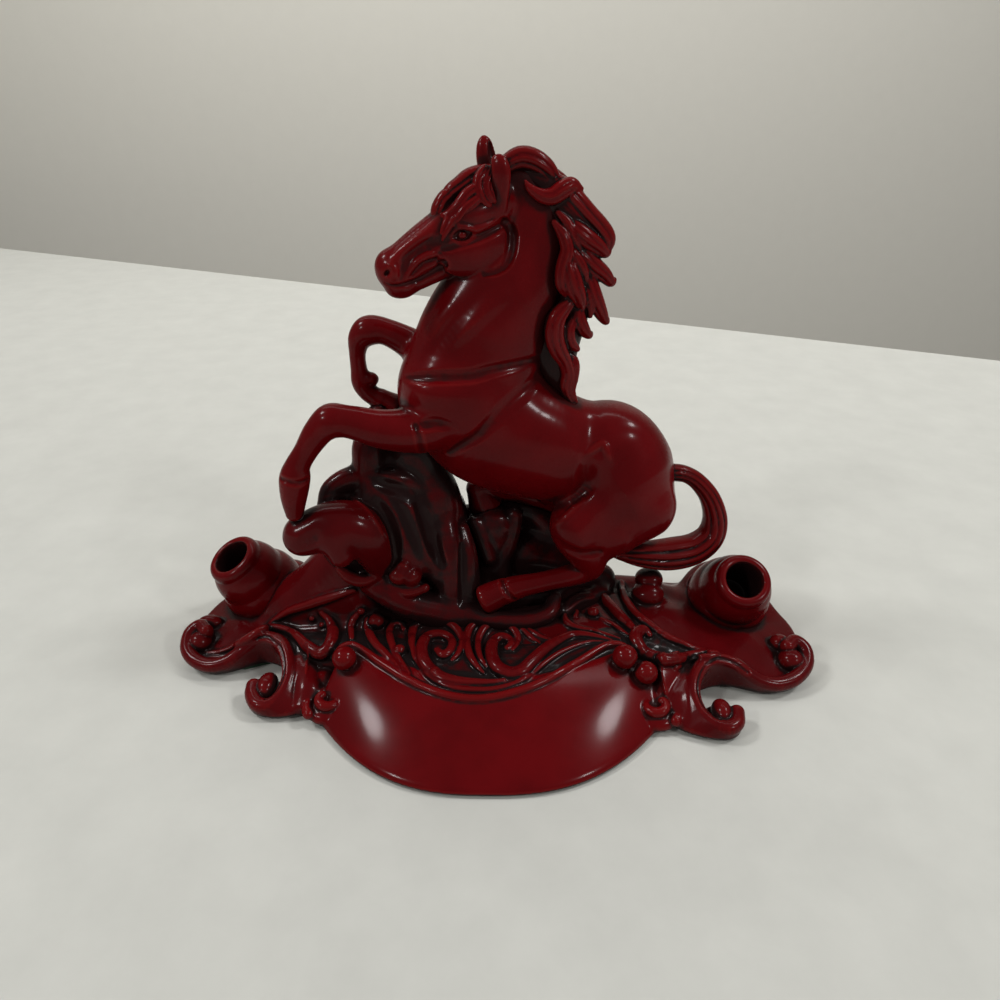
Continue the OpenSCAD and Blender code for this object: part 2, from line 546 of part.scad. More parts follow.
MANE = [[[-13, -1, 146, 2], [-8, -1.4, 148.8, 3.6], [-2.4, -1.8, 149, 4], [2.6, -2.4, 146, 3.6],
         [5, -3, 141, 2.6], [3.4, -3.6, 138, 1.2]],
        [[-6, -4.6, 146, 1.2], [-3.4, -5.4, 141.6, 2.2], [1.6, -5.6, 139.6, 3], [6, -4.6, 142, 3.4],
         [8.6, -3.6, 142, 3.4], [12.4, -3, 138.6, 3.2], [15.6, -2.6, 133.6, 2.4], [16.8, -2.6, 130, 1]],
        [[0, -3, 137, 2.6], [6, -4.6, 132, 3.4], [12, -4.4, 130.6, 3.6], [15.4, -3.6, 128, 2.8],
         [16.6, -3.2, 123, 1]],
        [[1, -3, 130, 2.8], [7, -4.8, 125, 3.6], [13, -4.4, 122, 3.4], [16.4, -3.4, 119.6, 2.4],
         [17.8, -3, 116, 0.9]],
        [[1.6, -3, 123, 2.8], [7.4, -4.8, 118, 3.6], [13, -4.4, 114.4, 3.2], [17, -3.6, 110.4, 1.2]],
        [[0, -4, 116, 2.8], [6, -5.4, 111, 3.4], [10.6, -5, 106.4, 3.2], [13.4, -4.2, 100.8, 1.2]],
        [[-3, -5, 109, 2.6], [3, -6, 104, 3.2], [7.4, -5.4, 99, 3.2], [8.4, -4.4, 93, 2.6],
         [7, -3.6, 87.4, 1]],
        [[-12, 2, 146, 2], [-6, 3, 147.6, 3.6], [1, 3.6, 145, 3.8], [5, 4, 141, 3.6], [9, 4, 135, 2.8],
         [12, 4, 130, 1]],
        [[-2, 3, 139, 3], [4, 4.4, 133, 3.6], [9, 4.6, 127, 3.2], [13, 4.4, 121, 1]],
        [[0, 3, 130, 3], [5, 4.6, 124, 3.6], [10, 4.6, 118, 3], [13, 4.2, 112, 1]],
        [[0, 3.6, 122, 3], [4, 5, 115, 3.6], [8.6, 5, 108, 3], [10, 4.4, 101, 1]],
        [[-3, 4.4, 113, 2.8], [2, 5.4, 106, 3.2], [6.4, 5, 99, 2.8], [8, 4.2, 92, 1]]];

FORELOCK = [[[-14, -1, 147.6, 2.4], [-19, -1.6, 147, 3], [-25, -3, 144.4, 3], [-30, -4, 140.6, 2.2],
             [-31.6, -4.4, 137.4, 1]],
            [[-15, -4, 145.6, 2], [-19.4, -6, 144, 2.6], [-24, -7, 140.8, 2.4], [-26.6, -7.4, 136.8, 1]],
            [[-15, 2, 146.6, 2], [-20, 2.4, 145, 2.6], [-26, 1, 141.4, 2.2], [-30, -0.6, 137.6, 1]]];

MANE_ROOT = [[-9, 0, 148.4, 4.2], [0, 0, 142, 4.4], [4, 0, 132, 4.6], [3.4, 0, 121, 4.6],
             [0.6, 0, 110, 4.4],
             [0.6, 0, 101, 3.6], [5, 0, 91, 2.8], [8, 0, 83.6, 2]];
across = [0.01, 1, 0.02];
lock_flat = 1.15;
tail_flat = 0.9;

module mane_form() {
    for (lock = MANE)
        tube(figure_path(lock, 2), across, 6, lock_flat);
    chain(figure_path(MANE_ROOT, 1), 10);
}

module forelock_form() {
    for (lock = FORELOCK)
        chain(figure_path(lock, 1), 8);
}

// Pins and dowels
function pin_ends(p, q) = [on_figure(p), on_figure(q)];

near_fore_pin = pin_ends([-46, -9.4, 81.4], [-31, -7.6, 82.4]);
far_fore_pin = pin_ends([-41, 10, 101.2], [-29, 7.4, 94]);
hind_pin = pin_ends([21, -13, 57], [21, 13, 57]);
tail_rod = pin_ends([46, 0, 56.4], [33, 0, 58.4]);
near_hind_hoof_pin = pin_ends([-20, -12, 13], [-20, -12, 23.6]);
near_fore_hoof_pin = pin_ends([-74, -9.6, 44], [-75.2, -10.4, 60]);
dowel_spots = [[-46, 3], [-6, 7]];
dowel_below = 9;
dowel_above = 9;

module pin(ends) {
    rod(ends[0], ends[1], pin_radius);
}

module pin_hole(ends) {
    along = unit(ends[1] - ends[0]) * pin_clearance;
    rod(ends[0] - along, ends[1] + along, pin_radius + pin_clearance);
}

module dowel(grow = 0) {
    for (s = dowel_spots)
        translate([s[0] * k, s[1] * k, -dowel_below - grow])
            cylinder(r = dowel_radius + grow, h = dowel_below + dowel_above + 2 * grow, $fn = 16);
}

fine_share = 0.7;

module fine_pin(ends, grow = 0) {
    along = unit(ends[1] - ends[0]) * grow;
    rod(ends[0] - along, ends[1] + along, pin_radius * fine_share + grow);
}

// Limb castings before they are seated
module near_fore_form() chain(figure_path(NEAR_FORE, 1), 10);

module far_fore_form() chain(figure_path(FAR_FORE, 1), 10);

module near_hind_form() {
    near_thigh();
    chain(figure_path(NEAR_SHANK, 1), 10);
}

module far_hind_form() {
    far_thigh();
    chain(figure_path(FAR_SHANK, 1), 10);
}

module tail_form() tube(figure_path(TAIL, 2), across, 10, tail_flat);

module limbs() {
    near_fore_form();
    far_fore_form();
    near_hind_form();
    far_hind_form();
}

// Sub-parts

module felt_pad() {
    color("darkgreen")
        linear_extrude(height = felt_thickness)
            polygon([for (q = edge_loop)
                    let (c = spine_of(q), d = [q[0] - c[0], q[1] - c[1]])
                    [q[0] - d[0] * felt_inset / norm(d), q[1] - d[1] * felt_inset / norm(d)]]);
}

module base_casting() {
    color("firebrick") difference() {
        union() {
            skirt();
            cup_boss(-1);
            cup_boss(1);
            bulb(0);
            chain([for (q = BACK_RIDGE) on_top(q, 0)], 10);
            on_plinth() saddle();
        }
        on_plinth() {
            rock_form();
            dowel(pin_clearance);
            fine_pin(near_hind_hoof_pin, pin_clearance);
        }
        for (side = [-1, 1])
            at_cup(side) cup_seat();
        below(casting_bottom);
    }
}

module front_cartouche() {
    color("crimson") difference() {
        cartouche_form();
        skirt();
        for (side = [-1, 1])
            rim_form(side);
        below(casting_bottom);
    }
}

module scroll_frieze() {
    color("brown") difference() {
        frieze_form();
        skirt();
        cartouche_form();
        for (side = [-1, 1]) {
            rim_form(side);
            at_cup(side) cup_seat();
            cup_boss(side);
        }
        bulb(bulb_clearance);
        on_plinth() {
            saddle();
            rock_form();
            limbs();
            tail_form();
        }
        below(casting_bottom);
    }
}

module left_rim_scroll() {
    color("indianred") difference() {
        rim_form(-1);
        skirt();
    }
}

module right_rim_scroll() {
    color("indianred") difference() {
        rim_form(1);
        skirt();
    }
}

module left_pen_cup() {
    color("darkred") at_cup(-1) cup_form();
}

module right_pen_cup() {
    color("darkred") at_cup(1) cup_form();
}

module rock_casting() {
    color("dimgray") on_plinth() difference() {
        rock_form();
        horse_form();
        limbs();
        tail_form();
        dowel(pin_clearance);
        fine_pin(near_hind_hoof_pin, pin_clearance);
        fine_pin(near_fore_hoof_pin, pin_clearance);
        below(casting_bottom - plinth_top);
    }
}

module horse_body() {
    color("red") on_plinth() difference() {
        horse_form();
        pin_hole(near_fore_pin);
        pin_hole(far_fore_pin);
        pin_hole(hind_pin);
        pin_hole(tail_rod);
    }
}

module left_foreleg() {
    color("tomato") on_plinth() difference() {
        near_fore_form();
        horse_form();
        pin_hole(near_fore_pin);
        fine_pin(near_fore_hoof_pin, pin_clearance);
    }
}

module right_foreleg() {
    color("tomato") on_plinth() difference() {
        far_fore_form();
        horse_form();
        pin_hole(far_fore_pin);
    }
}

module left_hind_leg() {
    color("tomato") on_plinth() difference() {
        near_hind_form();
        horse_form();
        pin_hole(hind_pin);
        fine_pin(near_hind_hoof_pin, pin_clearance);
    }
}

module right_hind_leg() {
    color("tomato") on_plinth() difference() {
        far_hind_form();
        horse_form();
        near_hind_form();
        pin_hole(hind_pin);
    }
}

module horse_tail() {
    color("salmon") on_plinth() difference() {
        tail_form();
        horse_form();
        limbs();
        pin_hole(tail_rod);
    }
}

module horse_mane() {
    color("maroon") on_plinth() difference() {
        mane_form();
        horse_form();
    }
}

module horse_forelock() {
    color("maroon") on_plinth() difference() {
        forelock_form();
        horse_form();
        mane_form();
    }
}

module foreleg_pins() {
    color("silver") on_plinth() {
        pin(near_fore_pin);
        pin(far_fore_pin);
    }
}

module hind_leg_pin() {
    color("silver") on_plinth() pin(hind_pin);
}

module tail_pin() {
    color("silver") on_plinth() pin(tail_rod);
}

module hoof_pins() {
    color("silver") on_plinth() {
        fine_pin(near_hind_hoof_pin);
        fine_pin(near_fore_hoof_pin);
    }
}

module rock_dowels() {
    color("silver") on_plinth() dowel();
}

felt_pad();
base_casting();
front_cartouche();
scroll_frieze();
left_rim_scroll();
right_rim_scroll();
left_pen_cup();
right_pen_cup();
rock_casting();
horse_body();
left_foreleg();
right_foreleg();
left_hind_leg();
right_hind_leg();
horse_tail();
horse_mane();
horse_forelock();
foreleg_pins();
hind_leg_pin();
tail_pin();
hoof_pins();
rock_dowels();
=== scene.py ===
"""Red lacquered pen stand: a rearing horse on a rock over a scrolled base with two pen cups.

Every casting is worked as clay, a grid of distances in millimetres in which bars and eggs are melded and lines
are scored or raised, and is then cast as a mesh. Each mesh carries two marks, recess and ridge, which the lacquer
reads for its dark wash with painted shade in the recesses, and its rubbed edges with painted highlights on the
ridges.
"""
import math

import bpy
import numpy as np
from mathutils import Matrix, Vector


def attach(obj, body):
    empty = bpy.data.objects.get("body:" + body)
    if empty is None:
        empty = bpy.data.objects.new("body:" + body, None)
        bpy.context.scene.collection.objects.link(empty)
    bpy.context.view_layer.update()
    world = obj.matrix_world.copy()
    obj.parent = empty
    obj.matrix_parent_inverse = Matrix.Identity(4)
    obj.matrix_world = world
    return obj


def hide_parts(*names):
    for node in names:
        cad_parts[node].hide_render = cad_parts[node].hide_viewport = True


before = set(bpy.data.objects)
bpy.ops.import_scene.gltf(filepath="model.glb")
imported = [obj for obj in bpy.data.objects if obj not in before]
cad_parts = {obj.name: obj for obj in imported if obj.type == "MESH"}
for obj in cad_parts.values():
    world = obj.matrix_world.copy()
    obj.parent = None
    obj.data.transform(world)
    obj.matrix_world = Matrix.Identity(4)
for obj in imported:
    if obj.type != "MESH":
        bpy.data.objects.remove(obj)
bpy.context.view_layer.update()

# Camera, at the photograph's place

CAMERA_SPOT = np.array([7.0, -186.2, 164.6])
CAMERA_FALL = math.radians(28)
CAMERA_TURN = math.radians(1.5)
PHOTO_FOCUS = 751.0
PHOTO_MIDDLE = 500.0


def make_camera():
    data = bpy.data.cameras.new("camera")
    data.sensor_width = 36
    data.lens = 36 * PHOTO_FOCUS / (2 * PHOTO_MIDDLE)
    data.clip_start = 0.01
    camera = bpy.data.objects.new("camera", data)
    camera.location = Vector(CAMERA_SPOT / 1000)
    camera.rotation_euler = (math.pi / 2 - CAMERA_FALL, 0, CAMERA_TURN)
    bpy.context.scene.collection.objects.link(camera)
    bpy.context.scene.camera = camera


def sight(px, py):
    """Directions from the camera through points of the picture."""
    ahead = np.array([-math.sin(CAMERA_TURN) * math.cos(CAMERA_FALL),
                      math.cos(CAMERA_TURN) * math.cos(CAMERA_FALL), -math.sin(CAMERA_FALL)])
    right = np.array([math.cos(CAMERA_TURN), math.sin(CAMERA_TURN), 0])
    up = np.cross(right, ahead)
    ray = ahead + np.outer(np.subtract(px, PHOTO_MIDDLE) / PHOTO_FOCUS, right) \
        - np.outer(np.subtract(py, PHOTO_MIDDLE) / PHOTO_FOCUS, up)
    return ray / np.linalg.norm(ray, axis=1, keepdims=True)


make_camera()

# Lines and frames

FIGURE_SPOT = (15.0, 28.0)
FIGURE_TURN = math.radians(8)
FIGURE_LONG = np.array([math.cos(FIGURE_TURN), math.sin(FIGURE_TURN), 0])
FIGURE_SIDE = np.array([-math.sin(FIGURE_TURN), math.cos(FIGURE_TURN), 0])


def figure(station):
    """A station [x, y, z, ...] of the horse's own frame, in the stand's frame."""
    x, y, z, *rest = station
    spot = FIGURE_LONG * x + FIGURE_SIDE * y
    return [FIGURE_SPOT[0] + spot[0], FIGURE_SPOT[1] + spot[1], z, *rest]


def figures(stations):
    return [figure(s) for s in stations]


def at_side(marks):
    """Stations under picture marks (px, py, y, r), each on the plane at that y of the horse's own frame."""
    m = np.array(marks, float)
    ways = sight(m[:, 0], m[:, 1])
    start = CAMERA_SPOT - np.array([*FIGURE_SPOT, 0])
    t = (m[:, 2] - start @ FIGURE_SIDE) / (ways @ FIGURE_SIDE)
    return np.hstack([CAMERA_SPOT + ways * t[:, None], m[:, 3:]])


def smooth_line(stations, parts):
    """Points on a smooth curve through the stations, with parts steps between each two."""
    p = np.array(stations, float)
    ends = np.vstack([2 * p[0] - p[1], p, 2 * p[-1] - p[-2]])
    line = []
    for i in range(len(p) - 1):
        a, b, c, d = ends[i:i + 4]
        for s in range(parts):
            t = s / parts
            line.append(0.5 * (2 * b + (c - a) * t + (2 * a - 5 * b + 4 * c - d) * t ** 2
                               + (3 * b - 3 * c + d - a) * t ** 3))
    line.append(p[-1])
    return np.array(line)


def figure_line(stations, parts):
    """A smooth line through stations of the horse's own frame, in the stand's frame."""
    return figures(smooth_line(stations, parts))


# Clay

FAR = 20.0
REACH = 5.0
TINY = 1e-6
LEAST_SLOPE = 1e-4
LEAST_LENGTH = 1e-3
FLUTE_SHARP = 1.6
GROOVE, RIDGE = False, True


def along(off, way):
    """How far an offset reaches along a way."""
    return off[0] * np.float32(way[0]) + off[1] * np.float32(way[1]) + off[2] * np.float32(way[2])


def square_of(off):
    return off[0] * off[0] + off[1] * off[1] + off[2] * off[2]


def flat_away(off, radius, side, flat):
    """Distance to a bar that is flattened along side."""
    s = along(off, side)
    rest = np.maximum(square_of(off) - s * s, 0)
    s = s / flat
    q = np.sqrt(rest + s * s)
    return (q - radius) * q / np.maximum(np.sqrt(rest + (s / flat) ** 2), LEAST_SLOPE)


class Clay:
    """A block of space in which forms are distances: below zero is inside."""

    def __init__(self, low, high, step):
        self.step = step
        self.low = np.array(low, np.float32)
        self.count = np.ceil((np.array(high) - np.array(low)) / step).astype(int) + 1
        self.axes = [(low[i] + step * np.arange(self.count[i])).astype(np.float32) for i in range(3)]

    def blank(self):
        return np.full(self.count, FAR, np.float32)

    def window(self, low, high):
        first = np.clip(np.floor((np.array(low) - self.low) / self.step).astype(int), 0, self.count)
        last = np.clip(np.ceil((np.array(high) - self.low) / self.step).astype(int) + 1, 0, self.count)
        if (last <= first).any():
            return None
        return tuple(slice(a, b) for a, b in zip(first, last))

    def from_spot(self, win, spot):
        x, y, z = (self.axes[i][win[i]] - np.float32(spot[i]) for i in range(3))
        return x[:, None, None], y[None, :, None], z[None, None, :]

    def stretches(self, stations, reach):
        """Each stretch of a line: its window, its two ends, the share t along it and the offset from it."""
        p = np.array(stations, np.float32)
        for a, b in zip(p[:-1], p[1:]):
            grow = max(a[3], b[3]) + reach
            win = self.window(np.minimum(a, b)[:3] - grow, np.maximum(a, b)[:3] + grow)
            if win is None:
                continue
            x, y, z = self.from_spot(win, a)
            d = b[:3] - a[:3]
            t = np.clip((x * d[0] + y * d[1] + z * d[2]) / max(float(d @ d), TINY), 0, 1)
            yield win, a, b, t, (x - t * d[0], y - t * d[1], z - t * d[2])

    def bar(self, field, stations, side=None, flat=1.0, reach=REACH):
        """A bar through stations [x, y, z, r], flattened along side if one is given."""
        for win, a, b, t, off in self.stretches(stations, reach):
            radius = a[3] + t * (b[3] - a[3])
            if side is None:
                away = np.sqrt(square_of(off)) - radius
            else:
                away = flat_away(off, radius, side, flat)
            np.minimum(field[win], away, out=field[win])

    def egg(self, field, centre, radii, axes=None, blend=0.0, reach=REACH):
        """An egg melded into a field, with its radii along the axes."""
        radii = np.array(radii, np.float32)
        grow = float(radii.max()) + reach + blend
        win = self.window(np.array(centre) - grow, np.array(centre) + grow)
        if win is None:
            return
        away = self.egg_away(win, centre, radii, axes)
        field[win] = meld(field[win], away, blend)

    def egg_away(self, win, centre, radii, axes=None):
        off = self.from_spot(win, centre)
        axes = np.eye(3) if axes is None else axes
        q, g = 0, 0
        for axis, r in zip(axes, radii):
            s = along(off, axis) / np.float32(r)
            q = q + s * s
            g = g + (s / np.float32(r)) ** 2
        q = np.sqrt(q)
        return q * (q - 1) / np.maximum(np.sqrt(g), LEAST_SLOPE)

    def dent(self, field, centre, radii, axes=None, blend=0.6):
        """An egg pressed into a field."""
        grow = float(max(radii)) + blend + 1
        win = self.window(np.array(centre) - grow, np.array(centre) + grow)
        if win is None:
            return
        away = self.egg_away(win, centre, np.array(radii, np.float32), axes)
        field[win] = -meld(-field[win], away, blend)

    def add(self, field, stations, blend, side=None, flat=1.0):
        """A bar melded into a field."""
        p = np.array(stations, float)
        grow = p[:, 3].max() + REACH + blend
        win = self.window(p[:, :3].min(0) - grow, p[:, :3].max(0) + grow)
        if win is None:
            return
        part = Clay.__new__(Clay)
        part.step = self.step
        part.axes = [self.axes[i][win[i]] for i in range(3)]
        part.low = np.array([a[0] for a in part.axes], np.float32)
        part.count = np.array([len(a) for a in part.axes])
        own = part.blank()
        part.bar(own, p, side, flat, REACH + blend)
        field[win] = meld(field[win], own, blend)

    def score(self, field, stations, raised=False):
        """A groove along stations [x, y, z, width, depth], or a ridge if raised."""
        p = np.array(stations, np.float32)
        grow = p[:, 3].max() + self.step
        whole = self.window(p[:, :3].min(0) - grow, p[:, :3].max(0) + grow)
        if whole is None:
            return
        cut = np.zeros([s.stop - s.start for s in whole], np.float32)
        for win, a, b, t, off in self.stretches(p, self.step):
            near = np.maximum(1 - square_of(off) / (a[3] + t * (b[3] - a[3])) ** 2, 0)
            deep = near * near * (a[4] + t * (b[4] - a[4]))
            inner = tuple(slice(s.start - o.start, s.stop - o.start) for s, o in zip(win, whole))
            np.maximum(cut[inner], deep, out=cut[inner])
        if raised:
            field[whole] -= cut
        else:
            field[whole] += cut

    def sample(self, field, points):
        """Field values at points, from the eight grid corners around each."""
        q = (np.asarray(points, np.float32) - self.low) / self.step
        i = np.clip(np.floor(q).astype(np.int64), 0, self.count - 2)
        t = np.clip(q - i, 0, 1)
        flat = field.reshape(-1)
        sy, sx = int(self.count[2]), int(self.count[1] * self.count[2])
        base = i[:, 0] * sx + i[:, 1] * sy + i[:, 2]
        tx, ty, tz = t.T

        def level(at):
            near = flat[at] * (1 - tx) + flat[at + sx] * tx
            return near * (1 - ty) + (flat[at + sy] * (1 - tx) + flat[at + sx + sy] * tx) * ty

        return level(base) * (1 - tz) + level(base + 1) * tz

    def slope(self, field, points, arm):
        """Direction in which the field grows fastest at points."""
        g = np.stack([self.sample(field, points + arm * e) - self.sample(field, points - arm * e)
                      for e in np.eye(3, dtype=np.float32)], 1)
        return g / np.maximum(np.linalg.norm(g, axis=1, keepdims=True), TINY)

    def hits(self, field, ways):
        """How far along each way from the camera the form is met, and where it is met at all."""
        top = self.low + self.step * (self.count - 1)
        with np.errstate(divide="ignore"):
            a, b = (self.low - CAMERA_SPOT) / ways, (top - CAMERA_SPOT) / ways
        t = np.maximum(np.minimum(a, b).max(1), 0) + 0.01
        far = np.maximum(a, b).min(1)
        away = self.sample(field, CAMERA_SPOT + ways * t[:, None])
        lost = (away < 0) | (t >= far)
        while True:
            live = ~lost & (away > 0.02)
            if not live.any():
                return t, ~lost
            t[live] += np.clip(away[live] * 0.6, 0.04, 2.5)
            lost |= t >= far
            away[live] = self.sample(field, CAMERA_SPOT + ways[live] * t[live][:, None])

    def seen(self, field, marks, parts=4):
        """Stations on the form under picture marks (px, py, ...), as the camera sees it."""
        line = smooth_line(marks, parts) if len(marks) > 1 else np.array(marks, float)
        ways = sight(line[:, 0], line[:, 1])
        t, met = self.hits(field, ways)
        spots = CAMERA_SPOT + ways * t[:, None]
        return np.hstack([spots, line[:, 2:]])[met]

    def draw(self, field, marks, raised=False, mirror=None):
        """A groove or ridge under picture marks (px, py, width, depth)."""
        line = self.seen(field, marks)
        if len(line) < 2:
            return
        self.score(field, line, raised)
        if mirror is not None:
            self.score(field, [[*mirror(s[:3]), *s[3:]] for s in line], raised)

    def draw_all(self, field, lines, mirror=None):
        """Grooves and ridges in the order of their table."""
        for raised, marks in lines:
            self.draw(field, marks, raised, mirror)

    def place(self, field, bed, marks, blend=0.4, lift=0.0):
        """A bar melded into a field, on the bed under picture marks (px, py, r) and raised by lift radii."""
        line = self.seen(bed, marks)
        if len(line) == 0:
            return
        line[:, :3] += self.slope(bed, line[:, :3], 0.8) * line[:, 3:] * lift
        if len(line) == 1:
            self.egg(field, line[0, :3], [line[0, 3]] * 3, None, blend)
        else:
            self.add(field, line, blend)

    def lock(self, field, stations, side, flat, strands, depth):
        """A lock of hair: a flattened bar with flutes along it, their depth a share of the radius."""
        p = np.array(stations, np.float32)
        for i in range(len(p) - 1):
            for win, a, b, t, off in self.stretches(p[i:i + 2], REACH):
                radius = a[3] + t * (b[3] - a[3])
                broad = np.cross(b[:3] - a[:3], side)
                broad = (broad / max(np.linalg.norm(broad), TINY)).astype(np.float32)
                away = flat_away(off, radius, side, flat)
                phase = strands * 0.5 * math.pi * (along(off, broad) / radius + 1) + 0.5 * (i + t) / len(p)
                away += depth * radius * (1 - np.abs(np.sin(phase))) ** FLUTE_SHARP
                np.minimum(field[win], away, out=field[win])

    def cast(self, field):
        """Points, faces and outward normals of the surface where the field is zero."""
        inside = field < 0
        n = self.count - 1
        tally = np.zeros(n, np.uint8)
        corners = [(a, b, c) for a in (0, 1) for b in (0, 1) for c in (0, 1)]
        for a, b, c in corners:
            tally += inside[a:a + n[0], b:b + n[1], c:c + n[2]]
        active = (tally > 0) & (tally < 8)
        cell = np.argwhere(active)
        number = np.full(n, -1, np.int32)
        number[active] = np.arange(len(cell))
        value = np.stack([field[cell[:, 0] + a, cell[:, 1] + b, cell[:, 2] + c] for a, b, c in corners], 1)
        place = np.zeros((len(cell), 3), np.float32)
        weight = np.zeros(len(cell), np.float32)
        for i, p in enumerate(corners):
            for j, q in enumerate(corners):
                if j <= i or sum(abs(u - v) for u, v in zip(p, q)) != 1:
                    continue
                cross = (value[:, i] < 0) != (value[:, j] < 0)
                t = np.where(cross, value[:, i] / np.where(cross, value[:, i] - value[:, j], 1), 0)
                step = np.array(q, np.float32) - np.array(p, np.float32)
                place += np.where(cross[:, None], np.array(p, np.float32) + t[:, None] * step, 0)
                weight += cross
        points = self.low + self.step * (cell + place / weight[:, None]).astype(np.float32)
        faces = []
        for axis in range(3):
            u, v = (axis + 1) % 3, (axis + 2) % 3
            head = [slice(None)] * 3
            tail = [slice(None)] * 3
            head[axis], tail[axis] = slice(0, -1), slice(1, None)
            out = inside[tuple(head)] != inside[tuple(tail)]
            spots = np.argwhere(out)
            spots = spots[(spots[:, u] > 0) & (spots[:, u] < n[u]) & (spots[:, v] > 0) & (spots[:, v] < n[v])]
            ring = []
            for du, dv in ((-1, -1), (0, -1), (0, 0), (-1, 0)):
                c = spots.copy()
                c[:, u] += du
                c[:, v] += dv
                ring.append(number[c[:, 0], c[:, 1], c[:, 2]])
            ring = np.stack(ring, 1)
            outward = inside[tuple(head)][spots[:, 0], spots[:, 1], spots[:, 2]]
            ring[~outward] = ring[~outward][:, ::-1]
            faces.append(ring)
        faces = whole_parts(len(points), np.concatenate(faces))
        used, faces = np.unique(faces, return_inverse=True)
        points, faces = points[used], faces.reshape(-1, 4)
        for _ in range(2):
            normal = self.slope(field, points, self.step * 0.5)
            move = np.clip(self.sample(field, points), -0.5 * self.step, 0.5 * self.step)
            points = points - normal * move[:, None]
        return points, faces, self.slope(field, points, self.step * 0.8)


def whole_parts(count, faces):
    """The faces without crumbs, which are loose parts of only a few faces."""
    label = np.arange(count)
    while True:
        lower = label.copy()
        np.minimum.at(lower, faces.ravel(), np.repeat(label[faces].min(1), 4))
        lower = lower[lower]
        if (lower == label).all():
            break
        label = lower
    part = label[faces[:, 0]]
    return faces[np.bincount(part, minlength=count)[part] > CRUMB_FACES]


def meld(a, b, blend):
    """The lower of two fields, rounded where they meet."""
    if blend <= 0:
        return np.minimum(a, b)
    h = np.maximum(blend - np.abs(a - b), 0) / blend
    return np.minimum(a, b) - h * h * (blend * 0.25)


def keep_off(a, b, gap):
    """Field a, with what field b holds cut away."""
    return np.maximum(a, gap - b)


def floored(clay, f):
    """A field cut off level at the castings' bottom."""
    return np.maximum(f, CASTING_BOTTOM - clay.axes[2][None, None, :])


# Horse, in its own frame: stations [x, y, z, r] with the head toward -X and the near side toward -Y

TRUNK = [[-25, 0, 87.4, 18], [-12, 0, 77.4, 18.6], [2, 0, 70, 17], [13, 0, 67.4, 16], [21, 0, 66.2, 16.2],
         [27.4, 0, 62, 14], [31.6, 0, 56.4, 11]]
BELLY = [[-27, 0, 79.4, 11], [-21, 0, 74, 13.4], [-11, 0, 70, 14], [0, 0, 68, 13.6]]
NECK = [[-24, 0, 92, 17.4], [-19.5, 0, 103, 18.4], [-14.5, 0, 113.5, 16.6], [-9, 0, 121, 13.4],
        [-4.5, 0, 129.5, 10], [-5, 0, 138.5, 8.6], [-9, 0, 144, 6.6]]
NOSE = [[-15, -1, 141.4, 6.6], [-18, -1.5, 139.4, 6.8], [-24, -2.6, 136.8, 6.4], [-33, -4.2, 131.6, 5.7],
        [-39, -5.2, 127.8, 5.1], [-41.8, -5.7, 126, 4.9]]
JAW = [[-18, -1.5, 131, 7], [-24, -2.6, 129, 5], [-32, -4, 124.4, 3.2], [-39.5, -5.2, 121.2, 2.8]]
NEAR_FORE = [[-27, -5, 83.6, 9], [-31, -6.6, 83, 8], [-38, -8.6, 80.8, 6.9], [-48, -10, 81.8, 5.7],
             [-57, -10.5, 84.6, 4.7], [-62.6, -10.5, 85.4, 4.5], [-66.6, -10.5, 82, 4.1],
             [-70.6, -10.5, 76.4, 3.4], [-73.4, -10.5, 72, 3.6], [-74.6, -10.5, 68.4, 4.4], [-75.2, -10.5, 65.4, 4.3],
             [-75.8, -10.5, 61.4, 3.7], [-76.2, -10.5, 56.8, 2.7]]
FAR_FORE = [[-27, 6, 91.5, 8.6], [-31, 7.6, 94.6, 7.2], [-38, 9.6, 99.8, 5], [-45, 11, 103.6, 4],
            [-50.6, 11.5, 105, 4], [-54, 11.5, 102.8, 3.5], [-55.3, 11.5, 98, 2.5], [-55.3, 11.5, 93, 2.5],
            [-54.8, 11.5, 89, 3.1], [-53.4, 11.5, 86, 3], [-51, 11.5, 83.8, 3], [-48.8, 11.5, 82.2, 3.3]]
NEAR_SHANK = [[14, -8, 52, 7.5], [8.4, -10.6, 47.6, 6.4], [9, -11.4, 42.6, 6.2], [12, -12, 37, 5.2],
              [14, -12, 32.8, 4.6], [10.4, -12, 29.9, 3.7], [0, -12, 27.6, 3.2], [-8, -12, 26.2, 3.6],
              [-12, -12, 25, 4.1], [-13.6, -12, 24.4, 3.9]]
FAR_SHANK = [[10, 8, 58, 7], [3, 10, 56, 6.6], [4, 11, 50, 5.6], [8.6, 11.5, 45.5, 4.6], [9, 11.5, 43.4, 4.2],
             [3, 11.5, 44.6, 3.5], [-5, 11.4, 47.6, 3.3], [-11, 11.2, 50, 3.9], [-16, 11, 51.6, 3.7],
             [-19, 11, 51.2, 3.8]]

HEAD_SPOT = np.array([-18.0, -1.5, 0.0])
HEAD_COS, HEAD_SIN = 0.985, 0.172
HEAD_SIDE = np.array([HEAD_SIN, -HEAD_COS, 0.0])


def across_head(spot):
    """The matching place on the other side of the head."""
    off = spot - np.array([*FIGURE_SPOT, 0])
    local = np.array([off @ FIGURE_LONG, off @ FIGURE_SIDE, spot[2]])
    local = local - 2 * ((local - HEAD_SPOT) @ HEAD_SIDE) * HEAD_SIDE
    return figure(local)


def across_horse(spot):
    """The matching place on the far side of the trunk."""
    off = np.array([spot[0] - FIGURE_SPOT[0], spot[1] - FIGURE_SPOT[1], 0])
    return spot - 2 * (off @ FIGURE_SIDE) * FIGURE_SIDE


HEAD_AXES = np.array([FIGURE_LONG * HEAD_COS + FIGURE_SIDE * HEAD_SIN,
                      FIGURE_LONG * HEAD_SIN - FIGURE_SIDE * HEAD_COS, [0, 0, 1]])
TRUNK_AXES = np.array([FIGURE_LONG, FIGURE_SIDE, [0, 0, 1]])


